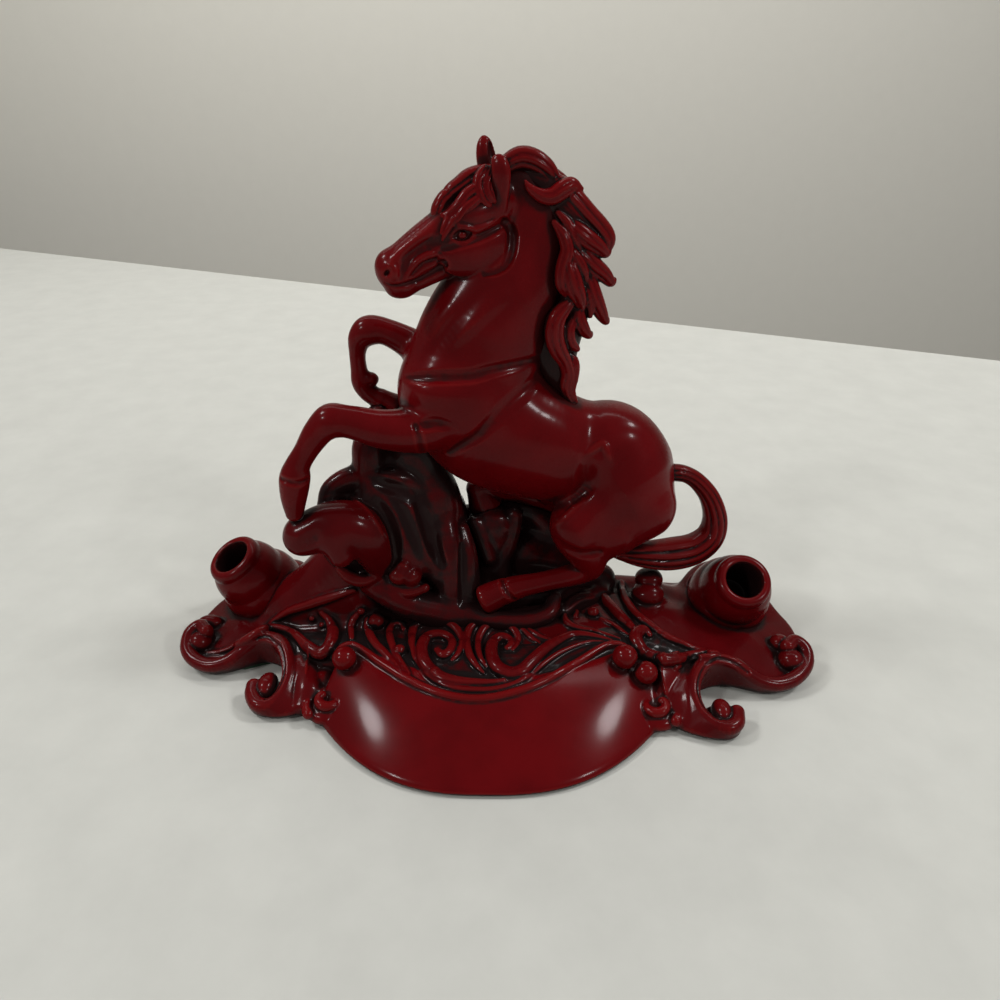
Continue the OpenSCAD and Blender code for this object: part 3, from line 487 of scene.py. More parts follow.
def tilted(axes, degrees):
    """Axes turned in the plane of the horse's side, nose down for a positive angle."""
    c, s = math.cos(math.radians(degrees)), math.sin(math.radians(degrees))
    return np.array([axes[0] * c + axes[2] * s, axes[1], axes[2] * c - axes[0] * s])


def body_form(clay):
    """Trunk and neck before the fine lines."""
    f = clay.blank()
    clay.bar(f, figure_line(TRUNK, 8), FIGURE_SIDE, 0.76)
    clay.add(f, figure_line(BELLY, 8), 6, FIGURE_SIDE, 0.76)
    clay.add(f, figure_line(NECK, 8), 7, FIGURE_SIDE, 0.68)
    for hand in (-1, 1):
        clay.egg(f, figure([-27, hand * 7, 89]), (13, 6.5, 9), tilted(TRUNK_AXES, -20), 6)
        clay.egg(f, figure([-3, hand * 6, 74]), (18, 8.5, 12), tilted(TRUNK_AXES, -24), 8)
        clay.egg(f, figure([22, hand * 5.6, 68.5]), (12, 7.6, 11), tilted(TRUNK_AXES, -30), 6)
    return f


def head_form(clay):
    """Head before the fine lines."""
    head = clay.blank()
    clay.bar(head, figure_line(NOSE, 6), HEAD_AXES[1], 0.9)
    clay.add(head, figure_line(JAW, 6), 2.6, HEAD_AXES[1], 0.86)
    clay.egg(head, figure([-18.4, -1.6, 131.6]), (8.2, 6.2, 7.6), tilted(HEAD_AXES, 20), 2.4)
    clay.egg(head, figure([-42.7, -5.8, 124.6]), (4.4, 4.7, 5.6), tilted(HEAD_AXES, 24), 2)
    clay.egg(head, figure([-40.8, -5.4, 120.9]), (4.2, 3.4, 3.1), tilted(HEAD_AXES, 12), 1.4)
    return head


NEAR_EAR = [(0, 0.4), (0.2, 0.66), (0.45, 0.88), (0.68, 1), (0.84, 0.86), (0.95, 0.5), (1, 0.2)]
FAR_EAR = [(0, 0.85), (0.3, 1), (0.6, 1), (0.8, 0.82), (0.93, 0.5), (1, 0.24)]


def ear_form(clay, base, tip, face, wide, thick, leaf, hollow):
    """A leaf-shaped ear, its hollow [place along, off the middle, half width] toward its face."""
    f = clay.blank()
    base, tip = np.array(figure(base)), np.array(figure(tip))
    clay.bar(f, [[*(base + (tip - base) * t), wide * w] for t, w in smooth_line(leaf, 4)], face, thick / wide)
    long = (tip - base) / np.linalg.norm(tip - base)
    broad = np.cross(face, long)
    middle = base + (tip - base) * hollow[0] + face * thick * 0.95 + broad * hollow[1]
    clay.dent(f, middle, (np.linalg.norm(tip - base) * 0.36, hollow[2], thick), np.array([long, broad, face]), 0.4)
    return f


SOLE_DROP, SOLE_ROUND = 1.2, 2.4


def hoof(clay, f, top, bottom, top_r, bottom_r):
    """A hoof as a short cone with a flat sole."""
    a, b = np.array(figure(top)), np.array(figure(bottom))
    own = clay.blank()
    clay.bar(own, [[*a, top_r], [*b, bottom_r]])
    way = (b - a) / np.linalg.norm(b - a)
    sole = along(clay.from_spot((slice(None),) * 3, b), way) - SOLE_DROP
    return meld(f, -meld(-own, -sole, SOLE_ROUND), 0.7)


def near_fore_form(clay):
    f = clay.blank()
    clay.bar(f, figure_line(NEAR_FORE, 10))
    clay.egg(f, figure([-62.4, -10.5, 85.2]), (4.6, 4.8, 4.6), None, 1.5)
    return f


def far_fore_form(clay):
    f = clay.blank()
    clay.bar(f, figure_line(FAR_FORE, 10))
    clay.egg(f, figure([-51.6, 11.5, 104.4]), (4.2, 4.2, 4), None, 1.5)
    clay.egg(f, figure([-52.2, 11.5, 89.6]), (2.6, 2.6, 2.2), None, 1)
    return hoof(clay, f, [-49.4, 11.5, 82.8], [-45.6, 11.5, 80], 3.5, 4.6)


def near_hind_form(clay):
    f = clay.blank()
    clay.bar(f, figures([[27, -4, 61, 12.4], [31, -6, 51, 10.4]]))
    clay.add(f, figures([[22, -6.6, 56, 11.4], [8, -10, 47.8, 6.6]]), 5)
    clay.add(f, figures([[30, -6.6, 50.5, 10], [21.6, -9.6, 44.6, 7.8], [10, -11, 45, 6.4]]), 4)
    clay.add(f, figures([[30.6, -6.4, 50, 9.8], [23, -9.4, 44, 7.6], [14.8, -11.4, 37.8, 5.2]]), 3)
    clay.add(f, figure_line(NEAR_SHANK, 10), 3)
    clay.egg(f, figure([14.6, -12, 33.6]), (3.4, 4, 4.4), None, 2)
    return hoof(clay, f, [-14.6, -12, 24.4], [-20.2, -12, 21.6], 4.3, 5.2)


def far_hind_form(clay):
    f = clay.blank()
    clay.bar(f, figures([[26, 4, 61, 12.2], [30, 6, 52, 9.8]]))
    clay.add(f, figures([[23, 7, 59, 10], [4, 9.6, 56, 7]]), 6)
    clay.add(f, figures([[28, 7, 52, 9], [14, 10, 50, 7], [8, 11, 47, 5.4]]), 5)
    clay.add(f, figure_line(FAR_SHANK, 10), 3.5)
    return hoof(clay, f, [-19.6, 11, 50.6], [-17.2, 10.9, 44.2], 4.2, 6)


HORSE_MELDS = (("horse_head", 1.2), ("left_hind_leg", 4), ("right_hind_leg", 5), ("left_foreleg", 2),
               ("right_foreleg", 3))


def horse_forms(clay):
    """The whole horse with its fine lines, and each casting's own plain form."""
    forms = {"horse_body": body_form(clay), "horse_head": head_form(clay), "left_foreleg": near_fore_form(clay),
             "right_foreleg": far_fore_form(clay), "left_hind_leg": near_hind_form(clay),
             "right_hind_leg": far_hind_form(clay)}
    f = forms["horse_body"]
    for node, blend in HORSE_MELDS:
        f = meld(f, forms[node], blend)
    clay.draw_all(f, TRUNK_LINES, across_horse)
    clay.draw_all(f, LIMB_LINES)
    head_lines(clay, f)
    near_ear = ear_form(clay, [-14, -5.8, 140.4], [-14.9, -6.8, 152], np.array([-0.42, -0.9, 0.1]), 3.1, 2.1,
                        NEAR_EAR, [0.64, 2.5, 1.1])
    far_ear = ear_form(clay, [-16.4, 2.8, 146.4], [-17.5, 3.2, 156.2], np.array([0.3, -0.94, 0.15]), 2.6, 1.9,
                       FAR_EAR, [0.6, -1.5, 1.3])
    ears = np.minimum(near_ear, far_ear)
    f = meld(f, ears, 0.8)
    np.minimum(forms["horse_head"], ears, out=forms["horse_head"])
    return f, forms


# Grooves and ridges of the horse under picture marks (px, py, width, depth)

TRUNK_LINES = [
    (GROOVE, [(404, 377, 1.2, 0.2), (420, 377.5, 2.2, 1.5), (440, 377, 2.4, 1.7), (470, 376, 2.4, 1.6),
              (492, 370.5, 2.4, 1.4), (519, 364.5, 2.2, 1.2), (540, 358, 1.6, 0.4)]),
    (GROOVE, [(449, 453, 1.6, 0.6), (463, 445, 2.4, 1.5), (478, 436, 2.6, 1.5), (490, 424, 2.8, 1.2),
              (502, 412, 3, 1.0), (530, 386, 3, 0.7), (541, 369, 2, 0.2)]),
    (GROOVE, [(414, 426, 1.4, 0.3), (424, 425, 2.2, 1.4), (437, 423.6, 2.4, 1.5), (452, 427, 2, 0.4)]),
    (RIDGE, [(424, 352, 3, 0.2), (432, 334, 3.4, 0.7), (441, 318, 3.2, 0.6), (455, 300, 3, 0.1)]),
    (RIDGE, [(446, 346, 3.4, 0.2), (462, 329, 4, 0.9), (480, 312, 4, 0.9), (502, 296, 3.4, 0.3)]),
    (GROOVE, [(436, 351, 3, 0.1), (450, 331, 3.4, 0.7), (466, 315, 3.4, 0.7), (484, 301, 3, 0.1)]),
    (RIDGE, [(412, 388, 3, 0.2), (426, 394, 4.5, 0.7), (440, 395, 4.5, 0.6), (462, 396, 4, 0.1)]),
    (RIDGE, [(585, 457.6, 1.2, 0.1), (594, 449, 1.8, 0.7), (602.6, 444, 1.8, 0.8), (607, 452, 1.6, 0.6),
             (610.6, 462, 1.4, 0.1)]),
    (GROOVE, [(586, 462, 3.5, 0.3), (587, 474, 4.5, 1.5), (585, 487, 4, 1.6), (577, 498, 3, 0.6)]),
    (GROOVE, [(580, 418, 6, 0.2), (588, 434, 7, 0.9), (591, 448, 6, 0.6)])]
LIMB_LINES = [
    (GROOVE, [(415, 424, 1.0, 0.2), (418, 432, 1.4, 1.3), (420, 442, 1.5, 1.4), (423, 456, 1.4, 0.9)]),
    (GROOVE, [(280.4, 478.6, 0.9, 0.7), (290, 482.6, 1.1, 0.9), (300, 483, 1.1, 0.9), (311, 478.4, 0.9, 0.7)]),
    (GROOVE, [(502, 579, 1.0, 0.9), (504.6, 588, 1.2, 1.1), (510, 596, 1.2, 1.1), (517, 601, 1, 0.7)]),
    (GROOVE, [(557, 540, 2, 0.2), (566, 548, 2.4, 0.9), (582, 554, 2.4, 1.0), (600, 552, 2, 0.5)]),
    (RIDGE, [(553, 526, 1.4, 0.2), (566, 516, 1.6, 0.6), (583, 500, 1.6, 0.2)])]
BROW = [(456, 224, 1.0, 0.2), (466, 228, 1.4, 0.8), (480, 228.6, 1.5, 0.9), (494, 223.6, 1.4, 0.8),
        (506, 217, 1.2, 0.2)]
CHEEK_TOP = [(443, 248.6, 0.9, 0.3), (452, 247, 1.2, 0.8), (466.7, 242.4, 1.3, 0.9), (480, 237, 1.6, 1.4),
             (492, 230.6, 1.8, 1.8), (504, 222.6, 1.8, 1.7)]
CHEEK_BACK = [(504, 221.4, 1.6, 1.2), (511, 231, 1.8, 1.9), (512, 243, 1.8, 2), (510, 255, 1.8, 2),
              (505, 265, 1.6, 1.8), (496, 271, 1.4, 1.4), (484, 274, 1.2, 0.6)]
NOSE_RIDGE = [(440, 217, 1.6, 0.2), (430.5, 229, 1.9, 0.8), (415, 241, 1.9, 0.9), (399.6, 253, 1.7, 0.8),
              (391, 264, 1.4, 0.2)]
NOSE_HOLLOW = [(444, 241, 1.8, 0.3), (428, 245, 2.4, 1.1), (412, 255, 2.4, 1.2), (405, 266, 2, 1.0),
               (402, 280, 1.4, 0.5)]
LIP_FOLDS = [[(409, 273, 1.0, 0.2), (416.7, 262, 1.5, 0.8), (428.7, 255.4, 1.5, 0.9), (439, 256.6, 1.2, 0.3)],
             [(412, 278, 1.0, 0.2), (423.6, 269.4, 1.3, 0.7), (435, 264, 1.2, 0.4)]]
LIP_GROOVE = [(413, 274, 0.9, 0.2), (423, 263.6, 1.1, 0.8), (435.6, 258.6, 1.1, 0.7)]
MOUTH = [(386, 284, 0.8, 0.3), (394, 286.4, 0.9, 0.7), (404.6, 284.6, 1.0, 0.8), (416.7, 280.6, 1.0, 0.9),
         (428.7, 274.6, 1.1, 1.0), (440, 268, 1.4, 1.1)]
UPPER_LID = [(451, 236, 0.7, 0.1), (456, 229.6, 0.9, 0.6), (464.6, 227.4, 1, 0.8), (474, 230, 0.8, 0.3),
             (480, 233, 0.6, 0.1)]
LOWER_LID = [(452, 239, 0.6, 0.1), (459.4, 243.6, 0.8, 0.4), (468, 242, 0.8, 0.4), (476, 237, 0.6, 0.1)]
NOSTRIL_WING = [(388, 265, 0.9, 0.1), (393.6, 268, 1.2, 0.4), (394.6, 275, 1.2, 0.4), (390, 281, 0.9, 0.1)]


def head_spots(clay, f, px, py):
    """The place under a picture mark, and the matching one on the head's other side."""
    return [np.array(place) for s in clay.seen(f, [(px, py)]) for place in (s[:3], across_head(s[:3]))]


def head_lines(clay, f):
    """Brow, eye, cheek, nose and mouth, on both sides."""
    near, far = HEAD_AXES[1], -HEAD_AXES[1]
    for hand, spot in zip((near, far), head_spots(clay, f, 476, 251)):
        clay.egg(f, spot - hand * 2.3, (9.6, 3.5, 6.7), tilted(HEAD_AXES, 16), 0.7)
    for hand, spot in zip((near, far), head_spots(clay, f, 473, 216)):
        clay.egg(f, spot - hand * 1.6, (5.6, 2.9, 3.2), tilted(HEAD_AXES, 18), 1.4)
    clay.draw_all(f, ((GROOVE, NOSE_HOLLOW), (RIDGE, NOSE_RIDGE), (GROOVE, CHEEK_TOP), (GROOVE, CHEEK_BACK),
                      (RIDGE, BROW), *((RIDGE, fold) for fold in LIP_FOLDS), (GROOVE, LIP_GROOVE), (GROOVE, MOUTH)),
                  across_head)
    for spot in head_spots(clay, f, 442.6, 264.6):
        clay.dent(f, spot, (1.7, 1.0, 1.2), tilted(HEAD_AXES, 30), 0.8)
    for hand, spot in zip((near, far), head_spots(clay, f, 462.6, 235)):
        clay.dent(f, spot, (2.5, 0.9, 1.4), tilted(HEAD_AXES, 8), 0.5)
        clay.egg(f, spot - hand * 0.4, (1.2, 0.95, 1.05), HEAD_AXES, 0.1, 1.5)
    clay.draw_all(f, [(RIDGE, line) for line in (UPPER_LID, LOWER_LID, NOSTRIL_WING)], across_head)
    for spot in head_spots(clay, f, 386.8, 273.6):
        clay.dent(f, spot, (1.0, 1.3, 0.55), tilted(HEAD_AXES, 50), 0.4)


# Hair, in the horse's own frame: stations [x, y, z, r], or picture marks (px, py, y, r) for the near side of the mane

NEAR_MANE = [
    [(503, 168, -3, 2), (511, 161, -2.6, 2.6), (522, 157.4, -2.2, 3.1), (534, 160, -2.2, 3.1),
     (545, 167, -2.4, 2.7), (552.6, 175, -2.8, 1.9), (556, 180.6, -3, 0.8)],
    [(578, 190, -4, 1.6), (570, 186, -4.8, 2.4), (562, 190, -5.6, 2.6), (553, 196, -6.2, 2.4),
     (544, 196.6, -6.6, 2), (535.6, 192.6, -6.8, 1.5), (529, 187, -6.8, 1), (525, 180.6, -6.6, 0.4)],
    [(556, 181, -3, 1.8), (562, 187, -3.4, 2.8), (570, 195, -3.8, 3.2), (578, 204, -4, 3.3), (588, 215.6, -4, 3.3),
     (598, 226.6, -4, 3.3), (604.6, 236, -4, 3.1), (606, 244.6, -4, 2.2), (603, 253, -4, 1)],
    [(570, 222, -5.4, 1.2), (577, 230, -6.2, 2.4), (587, 238.6, -6.4, 2.8), (597, 246, -6, 2.4),
     (605, 252.6, -5.2, 1.5), (609, 251, -4.8, 0.8)],
    [(573, 243, -5, 1.6), (582, 254, -5.6, 2.6), (592, 264.6, -5.6, 2.9), (603, 273.6, -5, 2.4),
     (610.6, 281.6, -4.4, 1.5), (614, 279.6, -4.2, 0.8)],
    [(580, 262, -4.6, 1.4), (587, 278, -5.4, 2.5), (593, 295, -5.6, 2.8), (600, 311, -5, 2.2),
     (605.6, 321, -4.4, 1.2), (607.6, 319, -4.2, 0.7)],
    [(567, 256, -7, 1.2), (570, 270, -7.8, 2.5), (574, 286, -8, 2.9), (578.6, 298, -7.6, 2.3), (582, 307, -7, 1.1)],
    [(554, 222, -6.6, 0.8), (563.6, 236, -7.4, 1.7), (567, 250, -7.8, 2), (563, 266, -8, 2.1), (562, 282, -8, 2.1),
     (567, 296, -7.6, 1.1)],
    [(574, 298, -7, 1.2), (564, 308, -8, 2.2), (556, 320, -8.6, 2.8), (554, 335, -8.6, 3), (558, 349, -8.2, 2.8),
     (565, 362, -7.4, 2.2), (568, 374, -6.6, 2.1), (566, 386, -6, 2), (568.6, 397, -5.2, 1.6),
     (576, 407, -4.6, 0.7)],
    [(580, 302, -5.6, 1.3), (578, 315, -6.4, 2.2), (582, 327, -6.2, 2.2), (588.6, 335, -5.6, 1.2),
     (591, 333, -5.2, 0.7)],
    [(573, 318, -7, 1.2), (568, 331, -7.6, 2.1), (570, 342, -7.2, 2), (577, 349, -6.6, 1)],
    [(566, 352, -6, 1.2), (573, 362, -6.2, 1.9), (573, 376, -6, 1.9), (571, 390, -5.6, 1.5), (576, 402, -5, 0.7)],
    [(558, 212, -6, 0.8), (568, 224, -6.8, 1.4), (574.6, 238, -7.2, 1.6), (580, 250, -6.8, 0.9)],
    [(569, 246, -7.4, 0.9), (577, 258, -7.8, 1.6), (583, 270, -7.6, 1.6), (586, 282, -7, 0.9)],
    [(584, 282, -6.6, 0.9), (588, 294, -7, 1.5), (590.6, 306, -6.6, 1.4), (590, 316, -6.2, 0.8)]]
FAR_MANE = [
    [[-12, 2, 147, 1.8], [-6, 3, 149, 2.8], [1, 3.6, 146, 3.2], [5.4, 4, 141.6, 3.2], [9.4, 4, 135.4, 2.6],
     [12, 4, 130, 0.6]],
    [[-2, 4, 140, 2.4], [4, 5, 133.4, 3], [9, 5, 127, 2.8], [13, 4.6, 120.6, 0.6]],
    [[0, 4.6, 131, 2.4], [5, 5.2, 124.4, 3], [10, 5, 118, 2.6], [13, 4.4, 111.6, 0.6]],
    [[0, 5, 123, 2.4], [4, 5.8, 115.6, 3], [8.6, 5.4, 108.4, 2.6], [10.4, 4.6, 101, 0.6]],
    [[-3, 5, 114, 2.4], [1.6, 4.8, 106.6, 3], [6, 3.8, 99, 2.6], [7.6, 3, 91, 0.6]]]
MANE_ROOT = [[-11, 0, 148, 2.6], [-7, -0.4, 148, 3], [-2, -1.4, 144.6, 4.2], [3.4, -2, 139, 5],
             [7.6, -2.2, 131, 5.4], [8, -2.4, 121, 5.4], [6.2, -2.6, 112.4, 5.2], [4.4, -2.6, 104, 4.8],
             [4, -2.4, 96.6, 4], [5, -2, 90, 3.2], [8, -1.2, 84, 1.8]]
MANE_FOOT = [[-3, -1, 118, 3.4], [-2.4, -1.6, 110, 4], [-1, -1.8, 103, 4.4], [0.8, -1.8, 97, 4.2],
             [3.2, -1.6, 91, 3.4], [6.4, -1, 86, 2.2]]
FORELOCK = [
    [[-13.4, -1.4, 147.4, 2], [-17.4, -2, 148, 2.5], [-21.4, -2.8, 147, 2.7], [-25, -3.6, 145, 2.5],
     [-27.4, -4, 143.6, 1.7], [-28.8, -4.2, 143.6, 0.7]],
    [[-25.4, -3.4, 144, 1.8], [-28.4, -4.2, 142.4, 2.2], [-30, -4.6, 139.8, 2.1], [-30.4, -4.8, 137.8, 1.5],
     [-29.6, -5.2, 136.6, 0.8]],
    [[-19.6, -6.2, 145.4, 1.5], [-23, -7, 143.4, 1.8], [-25.2, -7.4, 140.8, 1.7], [-27.8, -7.2, 138.8, 1.4],
     [-29.4, -6.6, 138.4, 0.8]],
    [[-20.6, -7.6, 142.4, 1.3], [-23.6, -8.2, 140.2, 1.5], [-25.6, -8.2, 137.8, 1.2], [-26.8, -8, 136.8, 0.6]],
    [[-18, -4.6, 149.2, 1.3], [-19.8, -6.2, 146.6, 1.7], [-19.4, -7, 143.6, 1.6], [-18, -7.4, 141.6, 1.1],
     [-17, -7.4, 141, 0.5]],
    [[-16.4, -4.8, 148.8, 1.2], [-17.8, -6.4, 146, 1.6], [-17.2, -7, 143.4, 1.4], [-16, -7.2, 142, 0.7]],
    [[-22, 1.6, 146, 1.7], [-26.2, 0.6, 143.2, 2], [-28.8, -0.8, 140, 1.7], [-29.6, -1.6, 137.6, 0.7]],
    [[-19.6, 3.6, 144, 1.7], [-23.6, 3.8, 140.8, 1.7], [-26, 2.8, 136.8, 0.7]]]
FORELOCK_STRANDS = [
    [(458, 208, 1.0), (455, 216, 1.0), (450, 225, 0.9), (445, 234, 0.7), (442.4, 240, 0.4)],
    [(452, 209, 0.9), (447, 219, 0.9), (443.6, 227, 0.7), (441, 233, 0.4)],
    [(462, 206, 0.9), (459, 214, 0.9), (455.6, 221, 0.7), (454, 226, 0.4)]]
TAIL = [[37, 0, 58.2, 3.2], [41, 0, 58.6, 3], [46, -0.2, 58, 2.9], [51, -0.4, 55, 3.1], [56, -0.8, 48.8, 3.6],
        [58.6, -1.4, 41, 4.3], [57.2, -2.4, 34.6, 5], [51.6, -3.4, 30.8, 5.6], [43, -4.4, 30, 5.8],
        [34, -5.4, 31, 4.6], [27, -5.8, 32, 2.6], [22.6, -6, 32.6, 1]]


def mane_root(clay):
    f = clay.blank()
    clay.bar(f, figure_line(MANE_ROOT, 6), FIGURE_SIDE, 0.9)
    clay.add(f, figure_line(MANE_FOOT, 6), 1, FIGURE_SIDE, 0.8)
    return f


def mane_form(clay):
    hair = clay.blank()
    near = [at_side(smooth_line(marks, 8)) for marks in NEAR_MANE]
    for line in near + [figure_line(path, 8) for path in FAR_MANE]:
        clay.lock(hair, line, FIGURE_SIDE, 0.95, 3, 0.16)
    return meld(mane_root(clay), hair, 0.5)


def forelock_form(clay):
    f, head = clay.blank(), head_form(clay)
    for path in FORELOCK:
        line = smooth_line(path, 8)
        line[:, 3] *= 1.08 + 0.05 * np.sin(0.5 * np.arange(len(line)))
        clay.lock(f, figures(line), HEAD_AXES[1], 0.9, 3, 0.2)
    for strand in FORELOCK_STRANDS:
        line = clay.seen(head, strand)
        clay.add(f, line, 0.2)
        clay.add(f, [[*across_head(q[:3]), q[3]] for q in line], 0.2)
    return f


def tail_form(clay):
    f = clay.blank()
    clay.lock(f, figure_line(TAIL, 8), FIGURE_SIDE, 0.9, 4, 0.2)
    return f


# Rock, in the horse's own frame

ROCK_CORE = [
    [[-64, 0, 40, 8], [-56, 5, 26, 11]], [[-56, 5, 26, 11], [-48, 5, 46, 9.4]], [[-60, 6, 56, 5], [-48, 6, 54, 7.4]],
    [[-48, 5, 50, 8], [-38, 6, 50, 8]], [[-50, 3, 23, 10], [-34, 5, 23, 9.6]], [[-46, 5, 36, 9.6], [-35, 6, 36, 9]],
    [[-32, 10, 44, 8], [-34, 11, 24, 9]], [[-18, 12, 30, 8], [-4, 9, 25, 8]],
    [[-32, 10, 26, 9], [-18, 11, 28, 8.4]], [[-4, 9, 25, 8], [10, 6, 22, 7.6], [22, 4, 16, 5.6]],
    [[-65, 4, 50, 6], [-58, 5, 52, 7]]]
ROCK_NECK = [
    [[-46, 6, 56, 7], [-44, 7, 64, 6], [-38, 7.4, 68.4, 5.6], [-33, 7, 71, 4.6]],
    [[-39.6, 6, 68, 6.6], [-36.6, 5.6, 61, 6.4], [-33.6, 4.6, 53, 7.2], [-32.4, 3.6, 44, 7.4]],
    [[-55, 3.4, 60, 5.4], [-54.4, 3.4, 66, 5], [-54, 4.4, 71, 4.8], [-51, 8, 77, 4.2], [-49, 10.6, 80.4, 3.8]]]
ROCK_FOLDS = [
    [[-53, 0, 59.6, 3.2], [-48.4, -2.2, 52, 4.4], [-45, -4.2, 42, 5], [-43.4, -5.6, 33, 5]],
    [[-47, 0, 60.6, 2.8], [-43.4, -1.6, 54, 3.4], [-39.8, -3.2, 45, 3.8], [-37.2, -4.8, 36, 3.8],
     [-35.4, -6, 29, 3.4]],
    [[-55, -1.6, 55, 3], [-51.6, -3.4, 46, 3.4], [-50, -5, 37, 3.4], [-49.6, -6, 30, 3.4]]]
ROCK_LIPS = [
    [[-68, -1.4, 53.6, 3], [-66, 1, 58, 3.4], [-60, 2.4, 61, 3.6], [-55, 2.2, 60, 3]],
    [[-54.6, 0.4, 60.6, 2.4], [-48, -0.4, 61.6, 2.6], [-43, 0, 60.4, 2.4], [-39, 1, 57, 2]]]
ROCK_COLUMNS = [
    [[-31.4, -0.6, 46, 3.4], [-30.8, -3.8, 39.6, 4.4], [-30.4, -6.2, 29, 4.9], [-30.2, -8, 15, 5.6]],
    [[-26, -1, 42.4, 2.2], [-25, -4, 35.6, 3.2], [-24.6, -6.4, 26, 3.7], [-24.6, -8, 15, 4.2]]]
ROCK_BLOCK = [[-15.4, 6, 38, 8], [-15.2, 5, 33, 7], [-15.6, 3, 26, 5.8], [-16, 1, 18, 6]]
ROCK_BLOCK_EDGES = [
    [[-8, 5.4, 43, 2.6], [-8.6, 4.6, 38, 2.6], [-10.4, 3, 32, 2.6], [-13.8, 0.4, 24, 2.8]],
    [[-21.4, 3.4, 42, 2.2], [-19.6, 1.6, 37, 2.4], [-17.4, 0, 30, 2.4]]]
ROCK_BACK = [[[-15, 14, 39.6, 6.4], [-2, 14, 40.4, 6.6], [9, 11, 30, 7.6]]]
ROCK_REAR = [
    [[-60, 9, 54, 3.4], [-57.6, 12, 42, 4.2], [-55.6, 13.4, 28, 5], [-55, 13, 18, 5.4]],
    [[-48, 10, 57, 3.4], [-45.6, 12.6, 43, 4.2], [-43.4, 13.8, 27, 5], [-42, 14, 17, 5.4]],
    [[-37, 12, 50, 3.2], [-34.6, 16, 38, 4], [-31.6, 17.4, 25, 4.8], [-30, 16.6, 15, 5]],
    [[-23.6, 15.4, 38, 3.2], [-20, 17, 29, 4], [-17, 17, 19, 4.6], [-16, 16, 13, 4.8]],
    [[-9, 17, 41, 3.2], [-4.6, 17.2, 33, 3.8], [-1, 16, 22, 4.4], [0, 14.6, 13, 4.6]]]
REAR_SKIRT = [[-60, 9, 18, 6], [-50, 12, 16, 6.4], [-38, 14, 15, 6.4], [-24, 14.4, 14.4, 6], [-10, 14, 14, 6],
              [6, 12, 14, 5.6], [18, 8, 14, 4.6]]
ROCK_SKIRT = [[-56, -8, 28, 3.6], [-50, -9.8, 24.6, 4.4], [-43, -10.6, 20.4, 5], [-33, -10.6, 17, 5.2],
              [-22, -11.4, 15.4, 4.6]]
ROCK_LEDGE = [[-27, -12, 18, 2.4], [-21, -15.2, 17, 2.8], [-14, -17, 16.4, 3], [-6, -17.2, 16, 3.1],
              [0.6, -15.4, 17.4, 2.9], [3, -11.6, 20.6, 2.3]]
ROCK_PLATE = [[-38, -10, 15, 3.4], [-14, -14, 15, 3.2], [6, -12, 15, 3.2], [20, -3, 15, 4]]
BOULDER = [[-74.4, -9, 48.4, 6.3], [-68, -8.6, 50.4, 7], [-61.4, -8, 50, 7.7], [-56.4, -7.6, 46, 7.6],
           [-54, -7.4, 40, 6.2], [-53.6, -7.4, 35, 4.2]]
BOULDER_NOSE = [[-66.4, -10, 51.6, 5], [-65, -12.2, 47, 4.5], [-63.8, -13.2, 42.8, 3.8]]
ROCK_BUDS = [[-46.8, -10.4, 32.6, 3.4], [-43.4, -9.8, 31.4, 3.6], [-45.6, -9.6, 34.6, 2.8]]
BUD_LIPS = [
    [[-49.4, -10.4, 28.6, 1.5], [-44.6, -12, 26.8, 2.1], [-39, -11.2, 27.4, 1.5]],
    [[-65.4, -8.4, 34.8, 1.4], [-62, -9.8, 32, 2], [-57.8, -10.2, 31, 2.1], [-54, -9.6, 31.8, 1.7],
     [-52, -8.8, 29, 1.3]]]


def rock_red(clay):
    """The boulder under the near hoof, and the buds at the foot."""
    f = clay.blank()
    clay.bar(f, figure_line(BOULDER, 6))
    clay.add(f, figures([[-75.6, -8.6, 46.8, 5], [-70, -8.6, 47.6, 5.4]]), 2)
    clay.add(f, figure_line(BOULDER_NOSE, 6), 2.6)
    for bud in ROCK_BUDS:
        clay.egg(f, figure(bud[:3]), [bud[3]] * 3, None, 0.7)
    for path in BUD_LIPS:
        clay.add(f, figure_line(path, 6), 0.8)
    return f


def rock_form(clay):
    f = clay.blank()
    for path in ROCK_CORE:
        clay.add(f, figures(path), 4)
    clay.add(f, figures(ROCK_PLATE), 3)
    clay.add(f, figures([[-30, 0, 15, 6], [4, -2, 15, 6], [18, 4, 15, 5]]), 3)
    for path in ROCK_NECK + ROCK_BACK:
        clay.add(f, figure_line(path, 6), 4)
    clay.add(f, figure_line(ROCK_BLOCK, 6), 3, FIGURE_SIDE, 0.7)
    for paths, blend in ((ROCK_REAR + [REAR_SKIRT], 5), (ROCK_FOLDS, 3.4), ([ROCK_SKIRT], 4), (ROCK_COLUMNS, 1.8),
                         (ROCK_LIPS + ROCK_BLOCK_EDGES + [ROCK_LEDGE], 1.6)):
        for path in paths:
            clay.add(f, figure_line(path, 6), blend)
    return meld(f, rock_red(clay), 0.9)


